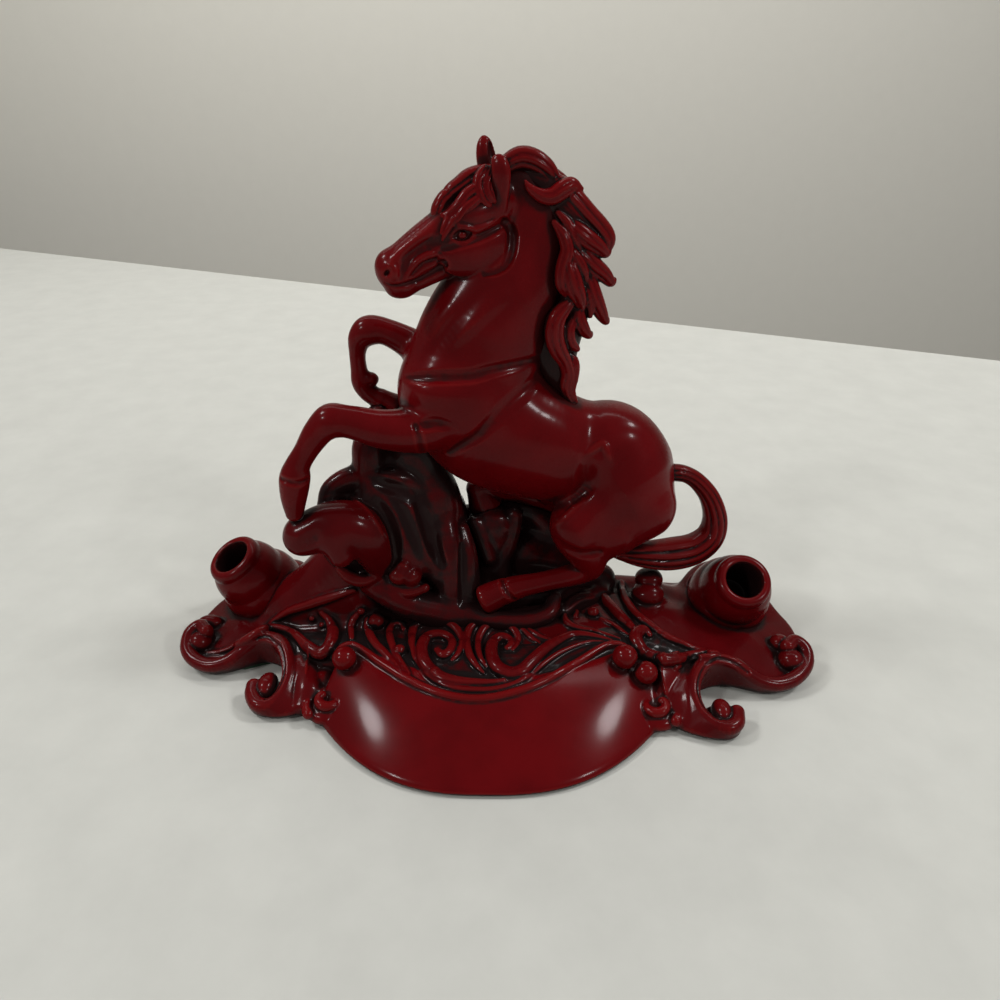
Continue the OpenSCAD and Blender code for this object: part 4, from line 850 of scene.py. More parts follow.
FOOT_FOLD = [(561, 600, 1.0, 0.1), (567, 593.6, 1.3, 0.8), (576, 589.6, 1.3, 0.9), (587, 589, 1.0, 0.2)]
ROCK_LINES = [
    (GROOVE, [(289, 543, 3, 0.2), (300, 546, 3.4, 0.6), (313, 538, 3.4, 0.9), (321, 526, 3.4, 0.3)]),
    (RIDGE, [(322, 498, 1.2, 0.1), (345, 497, 1.4, 0.6), (362, 505, 1.4, 0.7), (375, 520, 1.4, 0.6),
             (383, 535, 1.2, 0.1)]),
    (GROOVE, [(372, 480, 2.2, 0.3), (385, 485, 2.8, 1.5), (398, 490, 2.8, 1.6), (410, 500, 2.4, 0.6)]),
    (GROOVE, [(416, 500, 2.4, 0.4), (425, 522, 3, 1.8), (434, 548, 3, 1.8), (442, 564, 2.4, 0.7)]),
    (GROOVE, [(378, 502, 2.4, 0.3), (388, 520, 3, 1.6), (394, 540, 3, 1.6), (396, 558, 2.2, 0.6)]),
    (GROOVE, [(392, 496, 2.4, 0.1), (404, 514, 2.8, 0.8), (413, 536, 2.8, 0.8), (420, 556, 2.4, 0.2)]),
    (GROOVE, [(461, 546, 1.6, 0.3), (462, 562, 1.9, 0.9), (462, 585, 1.9, 0.9), (462.6, 606, 1.6, 0.4)])]


def rock_lines(clay, f):
    """Hollows between the folds, and the rolled edge of the boulder."""
    clay.draw_all(f, ROCK_LINES)
    for right, down in ((0, 0), (4, 5), (8.6, 9.6)):
        clay.draw(f, [(px + right, py + down, wide, deep) for px, py, wide, deep in FOOT_FOLD], RIDGE)


# Stand: plan place and height of the edge of the base, from the front middle to the back middle

FRONT_EDGE = [[0, -21, 9], [22, -17, 9.5], [40, -8, 11], [53, -5, 10]]
RIGHT_WING = [[60, -7, 9], [67, -3, 10], [75, -2, 8.5], [84, -3.5, 4.5], [95, -1, 3.5], [100, 8, 5]]
LEFT_WING = [[60, -4, 9], [67, 2, 10], [75, 5.5, 8.5], [85, 1, 4.5], [96, 3, 3.5], [100, 10, 5]]
BACK_EDGE = [[102, 18, 5.5], [101, 27, 6], [96, 36, 7], [84, 42, 8], [62, 45, 9], [30, 46, 10], [0, 46, 10]]
CASTING_BOTTOM = 1.0
PLINTH_TOP = 15.0
SPINE_HALF, SPINE_Y, FLAT_PART = 46.0, 20.0, 0.3
BACK_RIDGE = [[-66, 30, 7, 5], [-52, 38, 8, 6], [-30, 40, 8, 6], [30, 40, 8, 6], [52, 38, 8, 6], [66, 30, 7, 5]]
BULB_FOOT = [[51.6, 25.6, 9, 7.6], [51.6, 25.6, 13, 6.2]]
BULBS = [[51.6, 25, 17, 5.4, 5.2, 4.2], [52.2, 29, 20.4, 4.8, 4.6, 3.6]]
FLANKS = [[[-60.5, -3, 7, 4], [-57.8, -8, 5.6, 4.6], [-56.2, -12.4, 4.2, 4.8], [-57.4, -16.4, 3.2, 3]],
          [[60, -6, 7, 4], [57.2, -10.6, 5.6, 4.6], [55.4, -15, 4.2, 4.8], [56.4, -19.2, 3.2, 3]]]
SADDLE = [
    [[-62, 4, 36, 8], [-69, 4.8, 28.6, 7], [-77, 6, 20, 6], [-86, 7, 12, 5]],
    [[-60, 1, 20, 9], [-73, 5, 15, 8], [-86, 10, 10, 7]],
    [[-61, 2.6, 28, 8.4], [-70, 4, 21, 7.6], [-80, 5.6, 13, 7]]]


def flipped(stations):
    return [[-s[0], *s[1:]] for s in stations]


EDGE = np.vstack([smooth_line(FRONT_EDGE + RIGHT_WING + BACK_EDGE, 4),
                  np.array(flipped(smooth_line(FRONT_EDGE + LEFT_WING + BACK_EDGE, 4).tolist()))[-2:0:-1]])


def outline(x, y):
    """Distance to the base's outline in plan, below zero inside, and the edge's height near each place."""
    nearest = np.full(np.broadcast(x, y).shape, 1e9, np.float32)
    inside = np.zeros(nearest.shape, bool)
    height, weight = np.zeros_like(nearest), np.zeros_like(nearest)
    for a, b in zip(EDGE, np.roll(EDGE, -1, 0)):
        dx, dy = b[0] - a[0], b[1] - a[1]
        t = np.clip(((x - a[0]) * dx + (y - a[1]) * dy) / max(dx * dx + dy * dy, 1e-9), 0, 1)
        square = (x - a[0] - t * dx) ** 2 + (y - a[1] - t * dy) ** 2
        np.minimum(nearest, square, out=nearest)
        w = 1 / (square + 4) ** 2
        height += w * a[2]
        weight += w
        if a[1] != b[1]:
            inside ^= ((a[1] > y) != (b[1] > y)) & (x < dx * (y - a[1]) / dy + a[0])
    away = np.sqrt(nearest)
    return np.where(inside, -away, away), height / weight


CUPS = {"left_pen_cup": (-80.0, 30.0, -48.0), "right_pen_cup": (80.0, 38.0, 4.0)}
CUP_Y, CUP_Z = 33.0, 9.0
SEAT_RADIUS, SEAT_FLOOR = 13.0, 0.6


def cup_axis(node):
    _, lean, turn = (math.radians(v) for v in CUPS[node])
    return np.array([math.sin(turn) * math.sin(lean), -math.cos(turn) * math.sin(lean), math.cos(lean)])


def cup_spot(node, rise):
    return np.array([CUPS[node][0], CUP_Y, CUP_Z]) + cup_axis(node) * rise


def base_form(clay):
    x, y = clay.axes[0][:, None], clay.axes[1][None, :]
    away, edge = outline(x, y)
    spine = np.hypot(np.maximum(np.abs(x) - SPINE_HALF, 0), y - SPINE_Y)
    t = np.clip(spine / np.maximum(spine - np.minimum(away, 0), LEAST_LENGTH), FLAT_PART, 1)
    top = edge + (PLINTH_TOP - edge) * (1 - (t - FLAT_PART) / (1 - FLAT_PART)) ** 1.3
    gx, gy = np.gradient(top, clay.step)
    lean = np.sqrt(1 + gx * gx + gy * gy)
    z = clay.axes[2][None, None, :]
    f = (z - top[:, :, None]) / lean[:, :, None]
    f = -meld(-f, -np.broadcast_to(away[:, :, None], f.shape), 2.0)
    for node in CUPS:
        axis = cup_axis(node)
        side = np.cross(axis, [0, 1, 0])
        side /= np.linalg.norm(side)
        clay.egg(f, cup_spot(node, -2), (15.6, 15.6, 6.5), np.array([side, np.cross(axis, side), axis]), 5)
    clay.add(f, BACK_RIDGE, 4)
    for path in SADDLE:
        clay.add(f, figure_line(path, 4), 8)
    for path in FLANKS:
        clay.add(f, smooth_line(path, 4), 1.6)
    clay.add(f, BULB_FOOT, 1.6)
    for bulb in BULBS:
        clay.egg(f, bulb[:3], bulb[3:], None, 0.3)
    f = np.maximum(f, CASTING_BOTTOM - z)
    for node in CUPS:
        axis, spot = cup_axis(node), cup_spot(node, 0)
        px, py, pz = clay.from_spot((slice(None),) * 3, spot)
        rise = px * axis[0] + py * axis[1] + pz * axis[2]
        wide = np.sqrt(np.maximum(px * px + py * py + pz * pz - rise * rise, 0))
        f = np.maximum(f, -np.maximum(wide - SEAT_RADIUS, SEAT_FLOOR - rise)).astype(np.float32)
    return f


# Rims of the wings: crest [x, y, z] and foot [x, y], from the tip to the inner volute

RIGHT_RIM = [[94.5, 7.5, 8.4, 95, 8], [97.5, 10, 8.6, 97, 10], [100.4, 8, 7, 99.6, 8], [99.6, 3, 5, 99, 3.6],
             [95, -2, 3.8, 94.6, -1.4], [89, -4.6, 3.4, 89, -4], [83.5, -5, 4.6, 84, -4.2], [79, -4.4, 7, 80, -3],
             [74.4, -3.4, 10, 75.4, -1.4], [70, -2.8, 11, 71, -1], [65.6, -4, 10.8, 65, -3.4], [62, -7.8, 9, 58, -8],
             [60.2, -13, 6.8, 55, -14], [61.2, -18.6, 4.8, 56.4, -20.4], [64.4, -22.4, 3.6, 62.4, -23.4],
             [68.4, -23.8, 3.4, 68.2, -23.8], [71.6, -21.8, 3.6, 71.4, -21.8], [72.6, -18, 4, 72.4, -18]]
LEFT_RIM = [[95.5, 10.5, 8.4, 96, 11], [98.5, 13, 8.6, 98, 13], [101.2, 10.6, 7, 100.4, 10.8],
            [100.4, 5.4, 5, 99.8, 6], [96.6, 1.4, 3.8, 96.2, 2], [91, -0.6, 3.4, 91, 0], [85.4, 0, 4.6, 85.6, 1],
            [81, 2.4, 7, 81.4, 3.6], [76.4, 4.4, 10, 76.6, 6], [72, 4, 11, 72.4, 5.6], [67.4, 1.4, 10.8, 66.4, 2.6],
            [64, -4, 9, 60.4, -4], [62.6, -9.4, 6.8, 57.4, -10.4], [63.6, -14.8, 4.6, 58.8, -17],
            [66.6, -18, 3.4, 65, -18.8], [70.4, -17.6, 3.4, 70.4, -17.6], [73, -14, 3.8, 72.8, -14],
            [73.6, -10.6, 4.2, 73.4, -10.6]]
RIGHT_KNOBS = [[95.2, 4.6, 6.2, 4, 4, 3.6], [93.5, 11.8, 7.4, 3.2, 3.2, 2.8], [68.2, -17.6, 4.6, 3, 4.4, 3.6]]
LEFT_KNOBS = [[97.4, 8.8, 6.2, 3.9, 3.9, 3.6], [97.4, 18.2, 7.2, 4.2, 2.8, 2.4], [69.6, -10, 4.6, 3.2, 5, 3.6]]
RIM_LEVELS = 13
RIM_RADIUS = 2.3
RIM_FOOT = 2.6
RIM_FOLD = 1.2


def rim_form(clay, side):
    table, knobs = (LEFT_RIM, LEFT_KNOBS) if side < 0 else (RIGHT_RIM, RIGHT_KNOBS)
    rim = smooth_line(table, 4)
    f = clay.blank()
    for level in range(RIM_LEVELS):
        k = level / (RIM_LEVELS - 1)
        row = [[side * (q[0] + (q[3] - q[0]) * k), q[1] + (q[4] - q[1]) * k,
                (q[2] + CASTING_BOTTOM) * (1 - k) + RIM_FOOT * k, RIM_RADIUS - 0.5 * k] for q in rim]
        clay.bar(f, row)
    lean = rim[:, :2] - rim[:, 3:]
    far = np.linalg.norm(lean, axis=1, keepdims=True)
    fold = rim[:, :2] + RIM_FOLD * lean / np.maximum(far, LEAST_LENGTH)
    clay.score(f, [[side * p[0], p[1], q[2] + CASTING_BOTTOM + 1.5, 1.0, 0.7]
                   for p, q, a in zip(fold, rim, far) if a[0] > 1.6])
    tip, volute = knobs[0], knobs[2]
    clay.egg(f, (side * tip[0], tip[1] + 0.6, 3.6), (4.4, 4.4, 3), None, 1)
    clay.egg(f, (side * volute[0], volute[1] - 1, 1.6), (5.6, 6.6, 2.2), None, 1)
    for knob in knobs:
        clay.egg(f, (side * knob[0], knob[1], knob[2]), knob[3:], None, 0.3)
    return floored(clay, f)


# Cartouche: a bowed panel falling from the frieze to the table

PANEL_HALF, PANEL_FLARE, PANEL_SHIFT = 44.6, 8.8, 2.0
PANEL_BACK, PANEL_BACK_BOW = -19.0, 17.0
PANEL_FRONT, PANEL_FRONT_BOW, PANEL_ROUND, PANEL_LEAN = -47.2, 30.0, 2.6, 1.2
PANEL_TOP = 14.0
PANEL_LAP, PANEL_EDGE = 0.12, 0.8
PANEL_ROUNDS, PANEL_RUN = 12, 4


def panel_form(clay):
    x, y = clay.axes[0][:, None], clay.axes[1][None, :]
    v = np.full(np.broadcast(x, y).shape, 0.5, np.float32)
    for _ in range(PANEL_ROUNDS):
        u = (x + PANEL_SHIFT * (1 - np.clip(v, 0, 1))) / (PANEL_HALF + PANEL_FLARE * np.clip(v, -0.5, 1.5))
        back = PANEL_BACK + PANEL_BACK_BOW * u * u
        front = PANEL_FRONT + PANEL_FRONT_BOW * np.abs(u) ** PANEL_ROUND + PANEL_LEAN * u
        v = (y - back) / np.minimum(front - back, -PANEL_RUN)
    c = np.clip(v, -0.2, 1.1)
    top = CASTING_BOTTOM + 1 + (PANEL_TOP - CASTING_BOTTOM - 1) * (1 - 0.55 * c - 0.45 * c * c)
    gx, gy = np.gradient(top, clay.step)
    z = clay.axes[2][None, None, :]
    f = (z - top[:, :, None]) / np.sqrt(1 + gx * gx + gy * gy)[:, :, None]
    run = np.maximum(back - front, PANEL_RUN)
    rim = np.maximum(np.maximum((np.abs(u) - 1) * PANEL_HALF, (v - 1) * run * PANEL_EDGE),
                     (-v - PANEL_LAP) * run * PANEL_EDGE)
    f = -meld(-f, -np.broadcast_to(rim[:, :, None], f.shape), 1.6)
    return np.maximum(f, CASTING_BOTTOM - z).astype(np.float32)


PANEL_RIM = [(338, 664, 0.7), (337.6, 655, 1), (343, 648, 1.2), (353, 646, 1.2), (366, 653, 1.2), (384, 665, 1.2),
             (418, 685, 1.2), (453, 697, 1.2), (485, 699, 1.2), (517, 692, 1.2), (545, 681, 1.2), (579, 662, 1.2),
             (602, 648, 1.2), (616, 645, 1.2), (627, 649, 1), (632, 658, 0.7)]
PANEL_BEADS = [(348, 663, 3.7), (327, 676, 3.8), (622, 662, 3.8), (641.4, 676.6, 3.5)]
CURL_SPOT, CURL_LEVELS = (49.4, -17.4), (4.4, 7.4)
CURL_TURN, CURL_WIDE, CURL_THICK = (220, -210), (6.0, 1.5), (1.7, 1.5)

# Frieze: ribs on a sloping bed, under picture marks (px, py, r)

FRIEZE_BED = [[-62, 4, 10, 5], [-46, 2, 11, 7.6], [-30, -4, 11.4, 8.6], [-14, -7, 11.4, 9.4], [2, -7.4, 11.4, 9.4],
              [18, -5, 11.4, 9], [32, 1, 11.6, 8.4], [44, 7, 11.8, 7.4], [58, 4, 10, 5]]
BED_FLAT = 0.42
FRIEZE_RIBS = [
    [(416, 660, 1), (412.6, 648, 1.3), (412.4, 638, 1.5), (414, 629, 1.5), (420, 623.6, 1.5), (430, 621.4, 1.6),
     (442, 621.6, 1.6), (453, 627, 1.6), (460, 636, 1.5), (462, 646, 1.3), (458, 655, 1), (452, 661, 0.7)],
    [(437, 652, 1.2), (443, 656.6, 1.6), (450, 653, 1.6), (452.6, 646, 1.5), (449.6, 639, 1.5), (440.7, 635.4, 1.6),
     (430.5, 637, 1.8), (424, 643, 1.9), (421.8, 652, 2), (424, 662, 2), (430.5, 671, 2), (441, 678.6, 1.9),
     (456, 682.6, 1.7), (472, 683.6, 1.4), (490, 683, 1), (504, 681, 0.6)],
    [(414.6, 658, 0.8), (421.4, 667, 1), (429.6, 675.6, 1.1), (440, 683, 1.1), (454.6, 688.4, 1.1), (472, 690.4, 1),
     (492, 690, 0.9), (510, 685.6, 0.8), (525, 679, 0.9), (536, 671, 0.9), (546, 662.6, 0.9), (559, 654, 0.9),
     (573, 647.6, 0.8), (589, 642.6, 0.7), (604, 642, 0.4)],
    [(484, 674, 0.6), (476, 666, 1), (469.6, 656, 1.3), (466.6, 645, 1.4), (468, 634, 1.5), (473, 626.4, 1.4),
     (481, 622.6, 1)],
    [(487, 668, 0.6), (480.6, 659, 1), (478, 648, 1.2), (480, 637, 1.4), (485, 629, 1.5), (492.6, 624.4, 1.6),
     (500, 623.4, 1.6), (508, 626, 1.6), (514, 631.6, 1.5), (517.4, 639, 1.3), (516.6, 646, 1), (512.6, 651, 0.7)],
    [(507, 650, 1.1), (511.4, 646.6, 1.4), (509, 641, 1.5), (501.7, 638.4, 1.7), (494.4, 643, 1.9),
     (491.2, 652.7, 2), (493.4, 663, 2.1), (500, 671, 2.2), (511, 675, 2.2), (521.6, 672.6, 2.2), (531, 664, 2.1),
     (541.7, 654, 2), (553, 646, 1.9), (565, 639.6, 1.8), (577, 636.4, 1.5), (589, 636.6, 1.2), (601, 638.6, 0.9),
     (612, 641, 0.5)],
    [(505, 622.6, 0.6), (514, 624.6, 0.9), (522, 630, 1), (531.4, 638.6, 0.9), (540, 644, 0.5)],
    [(522, 624, 0.5), (530, 630.6, 0.8), (540, 637, 0.8), (550, 641, 0.5)],
    [(575, 616.6, 0.8), (576.4, 612.6, 0.9), (571, 610, 1), (565, 612, 1.1), (563.8, 618.4, 1.2), (569, 625, 1.2),
     (579.4, 629.6, 1.1), (593, 632, 1), (609, 636.4, 0.8), (620, 639.6, 0.5)],
    [(594, 586, 1), (604, 600, 1.8), (616, 614, 2), (628, 626, 1.7), (637, 634, 1)],
    [(601, 619, 0.6), (612, 625, 0.9), (622, 632, 0.8), (630, 637, 0.5)],
    [(368, 619, 1), (368.4, 632, 1.4), (375, 645, 1.5), (386, 656, 1.5), (397, 667.6, 1.3), (407, 675.6, 0.7)],
    [(352, 640, 0.9), (351.4, 630, 1.2), (354, 620, 1.2), (359, 613, 1), (363, 609, 0.7)],
    [(404, 630, 1), (402.6, 625.6, 1.1), (396, 624, 1.2), (390.6, 629, 1.3), (389.6, 638, 1.3), (392.6, 648, 1.3),
     (396.4, 657, 1.3), (402, 666, 1.2), (408.6, 674.6, 0.8)]]
RIB_LIFT = 0.3
FRIEZE_BEADS = [(377, 623, 2.7), (400, 652.4, 1.8), (593, 615, 2), (361.6, 610, 1.3), (323.6, 625.6, 1.2),
                (313, 618, 1)]
LEAF_RIBS = [
    [(621, 583, 1), (624, 597, 1.5), (633, 613, 1.6), (646.6, 624.6, 1.6), (661.5, 635.6, 1.5), (678.3, 643.6, 1.4),
     (697, 650.6, 1.2), (716, 652.4, 0.6)],
    [(648.5, 636, 1.2), (642, 632, 1.9), (635.4, 636.6, 2.1), (636.6, 645.6, 2.3), (645, 655.6, 2.4),
     (656.6, 660, 2.3), (671, 660.6, 2), (687.6, 656.6, 1.5), (704, 653.4, 1.1), (717, 652.6, 0.5)],
    [(676, 668, 0.6), (688, 661.6, 0.9), (702, 657.4, 0.9), (716, 655, 0.5)],
    [(262, 634, 0.6), (274, 622, 1), (290, 611, 1.3), (308, 604.5, 1.5), (330, 597, 1.5), (354, 589.5, 0.9)],
    [(298, 636.4, 1.2), (307, 646, 1.7), (320, 653.6, 2.1), (329.6, 648.6, 2.2), (333.6, 634, 2), (330, 620, 1.5),
     (322, 612, 0.9)],
    [(207, 653, 0.5), (225, 651, 0.9), (243.6, 642, 1.3), (260, 632.6, 1.5), (273.6, 628.4, 1.6), (286, 630.4, 1.6),
     (297, 637.6, 1.5), (308, 650, 1.3), (316, 657, 0.9)]]


def frieze_bed(clay):
    f = clay.blank()
    clay.bar(f, smooth_line(FRIEZE_BED, 3), (0, 0, 1), BED_FLAT)
    return f


def frieze_form(clay, bed):
    f = frieze_bed(clay)
    bed = np.minimum(bed, f)
    for rib in FRIEZE_RIBS + LEAF_RIBS:
        clay.place(f, bed, rib, 0.3, RIB_LIFT)
    for bead in FRIEZE_BEADS:
        clay.place(f, bed, [bead], 0.3, 0.5)
    return floored(clay, f)


def curl_line(hand):
    """A curl rolling inward from the panel's lower corner."""
    k = np.linspace(0, 1, 40)
    angle = np.radians(CURL_TURN[0] + (CURL_TURN[1] - CURL_TURN[0]) * k)
    wide, level, thick = (a + (b - a) * k for a, b in (CURL_WIDE, CURL_LEVELS, CURL_THICK))
    return np.stack([hand * (CURL_SPOT[0] - np.cos(angle) * wide), CURL_SPOT[1] + np.sin(angle) * wide,
                     level, thick], 1)


STAND_MELD = 0.9


def stand_forms(clay):
    """The stand's castings melded as one, and each casting's own plain form."""
    base, panel = base_form(clay), panel_form(clay)
    left, right = rim_form(clay, -1), rim_form(clay, 1)
    bed = np.minimum(np.minimum(base, panel), np.minimum(left, right))
    frieze = frieze_form(clay, bed)
    bed = np.minimum(bed, frieze)
    clay.place(panel, bed, PANEL_RIM, 0.6, 0.3)
    for bead in PANEL_BEADS:
        clay.place(panel, bed, [bead], 0.3, 0.75)
    for hand in (-1, 1):
        clay.egg(panel, (hand * CURL_SPOT[0], CURL_SPOT[1], 2.8), (6, 6, 3.2), None, 0.8)
        clay.add(panel, curl_line(hand), 0.3)
    panel = floored(clay, panel)
    forms = {"base_casting": base, "front_cartouche": panel, "scroll_frieze": frieze, "left_rim_scroll": left,
             "right_rim_scroll": right}
    f = base
    for node in ("left_rim_scroll", "right_rim_scroll", "front_cartouche", "scroll_frieze"):
        f = meld(f, forms[node], STAND_MELD)
    return f, forms


# Casting meshes

COARSE = 1.0
CRUMB_FACES = 100
WHOLE_STEP = 1.2
LAP, LAP_SINK = 1.2, 0.12
MARK_REACHES = (1.2, 2.5, 5.0, 9.0)


def whole_form():
    """The whole object on a coarse grid, for the marks."""
    clay = Clay((-112, -56, -6), (112, 60, 166), WHOLE_STEP)
    f = np.minimum(stand_forms(clay)[0], horse_forms(clay)[0])
    for part in (rock_form(clay), mane_form(clay), forelock_form(clay), tail_form(clay)):
        np.minimum(f, part, out=f)
    for node in CUPS:
        clay.bar(f, [[*cup_spot(node, 1), 13], [*cup_spot(node, 9), 13], [*cup_spot(node, 18), 8]])
    np.minimum(f, clay.axes[2][None, None, :], out=f)
    return clay, f


whole_clay, whole_field = whole_form()


def shade_and_wear_marks(clay, field, points, normals):
    """How far each point lies in a recess or on a ridge: the recess mark paints shade from how closed in each point
    is, together with the wash; the ridge mark lights the convex edges as painted highlight, together with the rubbed
    wear.
    """
    free = np.zeros(len(points), np.float32)
    for reach in MARK_REACHES:
        free += np.clip(whole_clay.sample(whole_field, points + normals * reach) / reach, 0, 1)
    arm = max(0.7, clay.step)
    bend = -6 * clay.sample(field, points)
    for e in np.eye(3, dtype=np.float32):
        bend += clay.sample(field, points + arm * e) + clay.sample(field, points - arm * e)
    bend /= arm * arm
    recess = np.clip(1.25 * (1 - free / len(MARK_REACHES)) - 0.1 + np.clip(-bend, 0, 1) * 0.5, 0, 1)
    return {"recess": recess, "ridge": np.clip((bend - 0.12) / 0.7, 0, 1)}


def mesh_piece(name, points, faces, normals, marks):
    """An object from a cast surface in millimetres, with its marks."""
    mesh = bpy.data.meshes.new(name)
    mesh.vertices.add(len(points))
    mesh.vertices.foreach_set("co", (points / 1000).astype(np.float32).ravel())
    mesh.loops.add(faces.size)
    mesh.loops.foreach_set("vertex_index", faces.astype(np.int32).ravel())
    mesh.polygons.add(len(faces))
    mesh.polygons.foreach_set("loop_start", np.arange(0, faces.size, faces.shape[1], dtype=np.int32))
    mesh.polygons.foreach_set("use_smooth", np.ones(len(faces), bool))
    mesh.update(calc_edges=True)
    mesh.validate()
    mesh.normals_split_custom_set_from_vertices(normals.astype(np.float32))
    for mark, values in marks.items():
        mesh.attributes.new(mark, "FLOAT", "POINT").data.foreach_set("value", values.astype(np.float32))
    piece = bpy.data.objects.new(name, mesh)
    bpy.context.scene.collection.objects.link(piece)
    return piece


def cast_piece(name, node, slot, clay, field, own=None, soot_and_shade=None):
    """A casting from a field, or the share of it that its own cut leaves; a further darkening deepens the recess
    mark: the rock's own dark tone on the rock, painted shade on the neck and brow, painted shade with the wash on the
    mane roots and the frieze bed.
    """
    points, faces, normals = clay.cast(field if own is None else own)
    if own is not None:
        skin = np.abs(clay.sample(field, points)) < LAP_SINK + 0.3 * clay.step
        normals = np.where(skin[:, None], clay.slope(field, points, clay.step * 0.8), normals)
    marks = shade_and_wear_marks(clay, field, points, normals)
    if soot_and_shade is not None:
        marks["recess"] = np.clip(marks["recess"] + soot_and_shade(clay, points), 0, 1)
    settle(mesh_piece(name, points, faces, normals, marks), node, slot)


def settle(piece, node, slot):
    """The piece's body, the node it stands for, and its finish."""
    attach(piece, "root")
    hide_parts(node)
    piece.data.materials.append(LACQUERS[slot])


def share_of(field, forms, name):
    """What one casting has of a melded field; it laps a little under its neighbours."""
    others = np.minimum.reduce([forms[n] for n in forms if n != name])
    over = (forms[name] - others) * 0.5
    return np.maximum(field + LAP_SINK * np.clip(over / 0.6, 0, 1), over - LAP)


def shared_piece(name, form, node, slot, maker, low, high, step, soot_and_shade=None):
    clay = Clay(low, high, step * COARSE)
    field, forms = maker(clay)
    cast_piece(name, node, slot, clay, field, share_of(field, forms, form), soot_and_shade)


def hair_piece(name, node, maker, low, high, step, soot_and_shade=None):
    clay = Clay(low, high, step * COARSE)
    cast_piece(name, node, "hair_lacquer", clay, maker(clay), None, soot_and_shade)


def rock_piece(low, high, step):
    clay = Clay(low, high, step * COARSE)
    f = rock_form(clay)
    rock_lines(clay, f)
    f = floored(clay, keep_off(f, horse_forms(clay)[0], 0.1))
    cast_piece("rock", "rock_casting", "rock_lacquer", clay, f, None, rock_soot)


def rock_soot(clay, points):
    """Soot all over the rock but for its red boulder and buds."""
    return 0.5 * np.clip(clay.sample(rock_red(clay), points) / 2.5, 0, 1)


def mane_root_wash_and_shade(clay, points):
    """Wash and painted shade on the roots, which the locks stand clear of."""
    return 0.5 * np.clip(1 - clay.sample(mane_root(clay), points) / 0.7, 0, 1)


def hair_shade(clay, points):
    """Painted shade that fades from the mane and forelock onto the neck and brow."""
    hair = np.minimum(mane_form(clay), forelock_form(clay))
    return 0.6 * np.clip(1 - clay.sample(hair, points) / 4.5, 0, 1)


def frieze_bed_wash_and_shade(clay, points):
    """Wash and painted shade on the bed between the ribs."""
    return 0.6 * np.clip(1 - clay.sample(frieze_bed(clay), points) / 1.0, 0, 1)


CUP_SIDE = [[0.01, -4.6], [5.6, -4.6], [5.8, -4.3], [5.8, -0.2], [12.0, -0.1], [12.9, 0.6], [13.4, 2], [13.6, 4.4],
            [13.5, 7], [13.1, 9.2], [12.4, 10.8], [11.9, 11.7], [11.7, 12.6], [11.6, 13.8], [11.4, 15.4],
            [10.9, 17.2], [10.2, 18.8], [9.6, 19.8], [9.2, 20.5], [9.1, 21.2], [9.0, 22.2], [8.6, 23.2],
            [7.9, 23.8], [7.1, 24], [6.4, 23.8], [6.06, 23.3], [6.0, 22.6], [6.0, 14], [6.0, 7.4], [5.8, 6.5],
            [5.2, 6.05], [0.01, 6]]
CUP_TURNS = 128
BORE_TOP, BORE_FADE, BORE_EDGE = 23.2, 9, 6.3
CUP_REACH = 4


def cup_piece(name, node):
    """A pen cup turned from its side line."""
    side = smooth_line(CUP_SIDE, 3)
    axis = cup_axis(node)
    across = np.cross(axis, [0, 1, 0])
    across /= np.linalg.norm(across)
    third = np.cross(axis, across)
    spot = cup_spot(node, 0)
    turn = 2 * math.pi * np.arange(CUP_TURNS) / CUP_TURNS
    ring = np.cos(turn)[:, None] * across + np.sin(turn)[:, None] * third
    points = (spot + side[:, 0][:, None, None] * ring + side[:, 1][:, None, None] * axis).reshape(-1, 3)
    way = np.gradient(side, axis=0)
    way /= np.maximum(np.linalg.norm(way, axis=1, keepdims=True), TINY)
    normals = (way[:, 1][:, None, None] * ring - way[:, 0][:, None, None] * axis).reshape(-1, 3)
    i, j = np.meshgrid(np.arange(len(side) - 1), np.arange(CUP_TURNS), indexing="ij")
    k = (j + 1) % CUP_TURNS
    faces = np.stack([i * CUP_TURNS + j, i * CUP_TURNS + k, (i + 1) * CUP_TURNS + k, (i + 1) * CUP_TURNS + j], 2)
    bend = np.gradient(np.unwrap(np.arctan2(way[:, 1], way[:, 0]))) / np.maximum(
        np.linalg.norm(np.gradient(side, axis=0), axis=1), LEAST_LENGTH)
    # Painted shade: the recess mark darkens deeper down the bore, in the concave bends and where the cup is closed
    # in, together with the wash.
    bore = np.zeros(len(side))
    inner = len(side) // 2
    bore[inner:] = np.clip((BORE_TOP - side[inner:, 1]) / BORE_FADE, 0, 1)
    bore = np.where(side[:, 0] > BORE_EDGE, 0, bore)
    free = np.clip(whole_clay.sample(whole_field, points + normals * CUP_REACH) / CUP_REACH, 0, 1)
    free = free.reshape(len(side), -1)
    recess = np.clip(bore[:, None] + np.clip(-bend * 0.5, 0, 0.6)[:, None] + 0.6 * (1 - free), 0, 1).ravel()
    ridge = np.repeat(np.clip((bend - 0.1) / 1.2, 0, 1), CUP_TURNS)
    piece = mesh_piece(name, points, faces.reshape(-1, 4), normals, {"recess": recess, "ridge": ridge})
    settle(piece, node, "cup_lacquer")


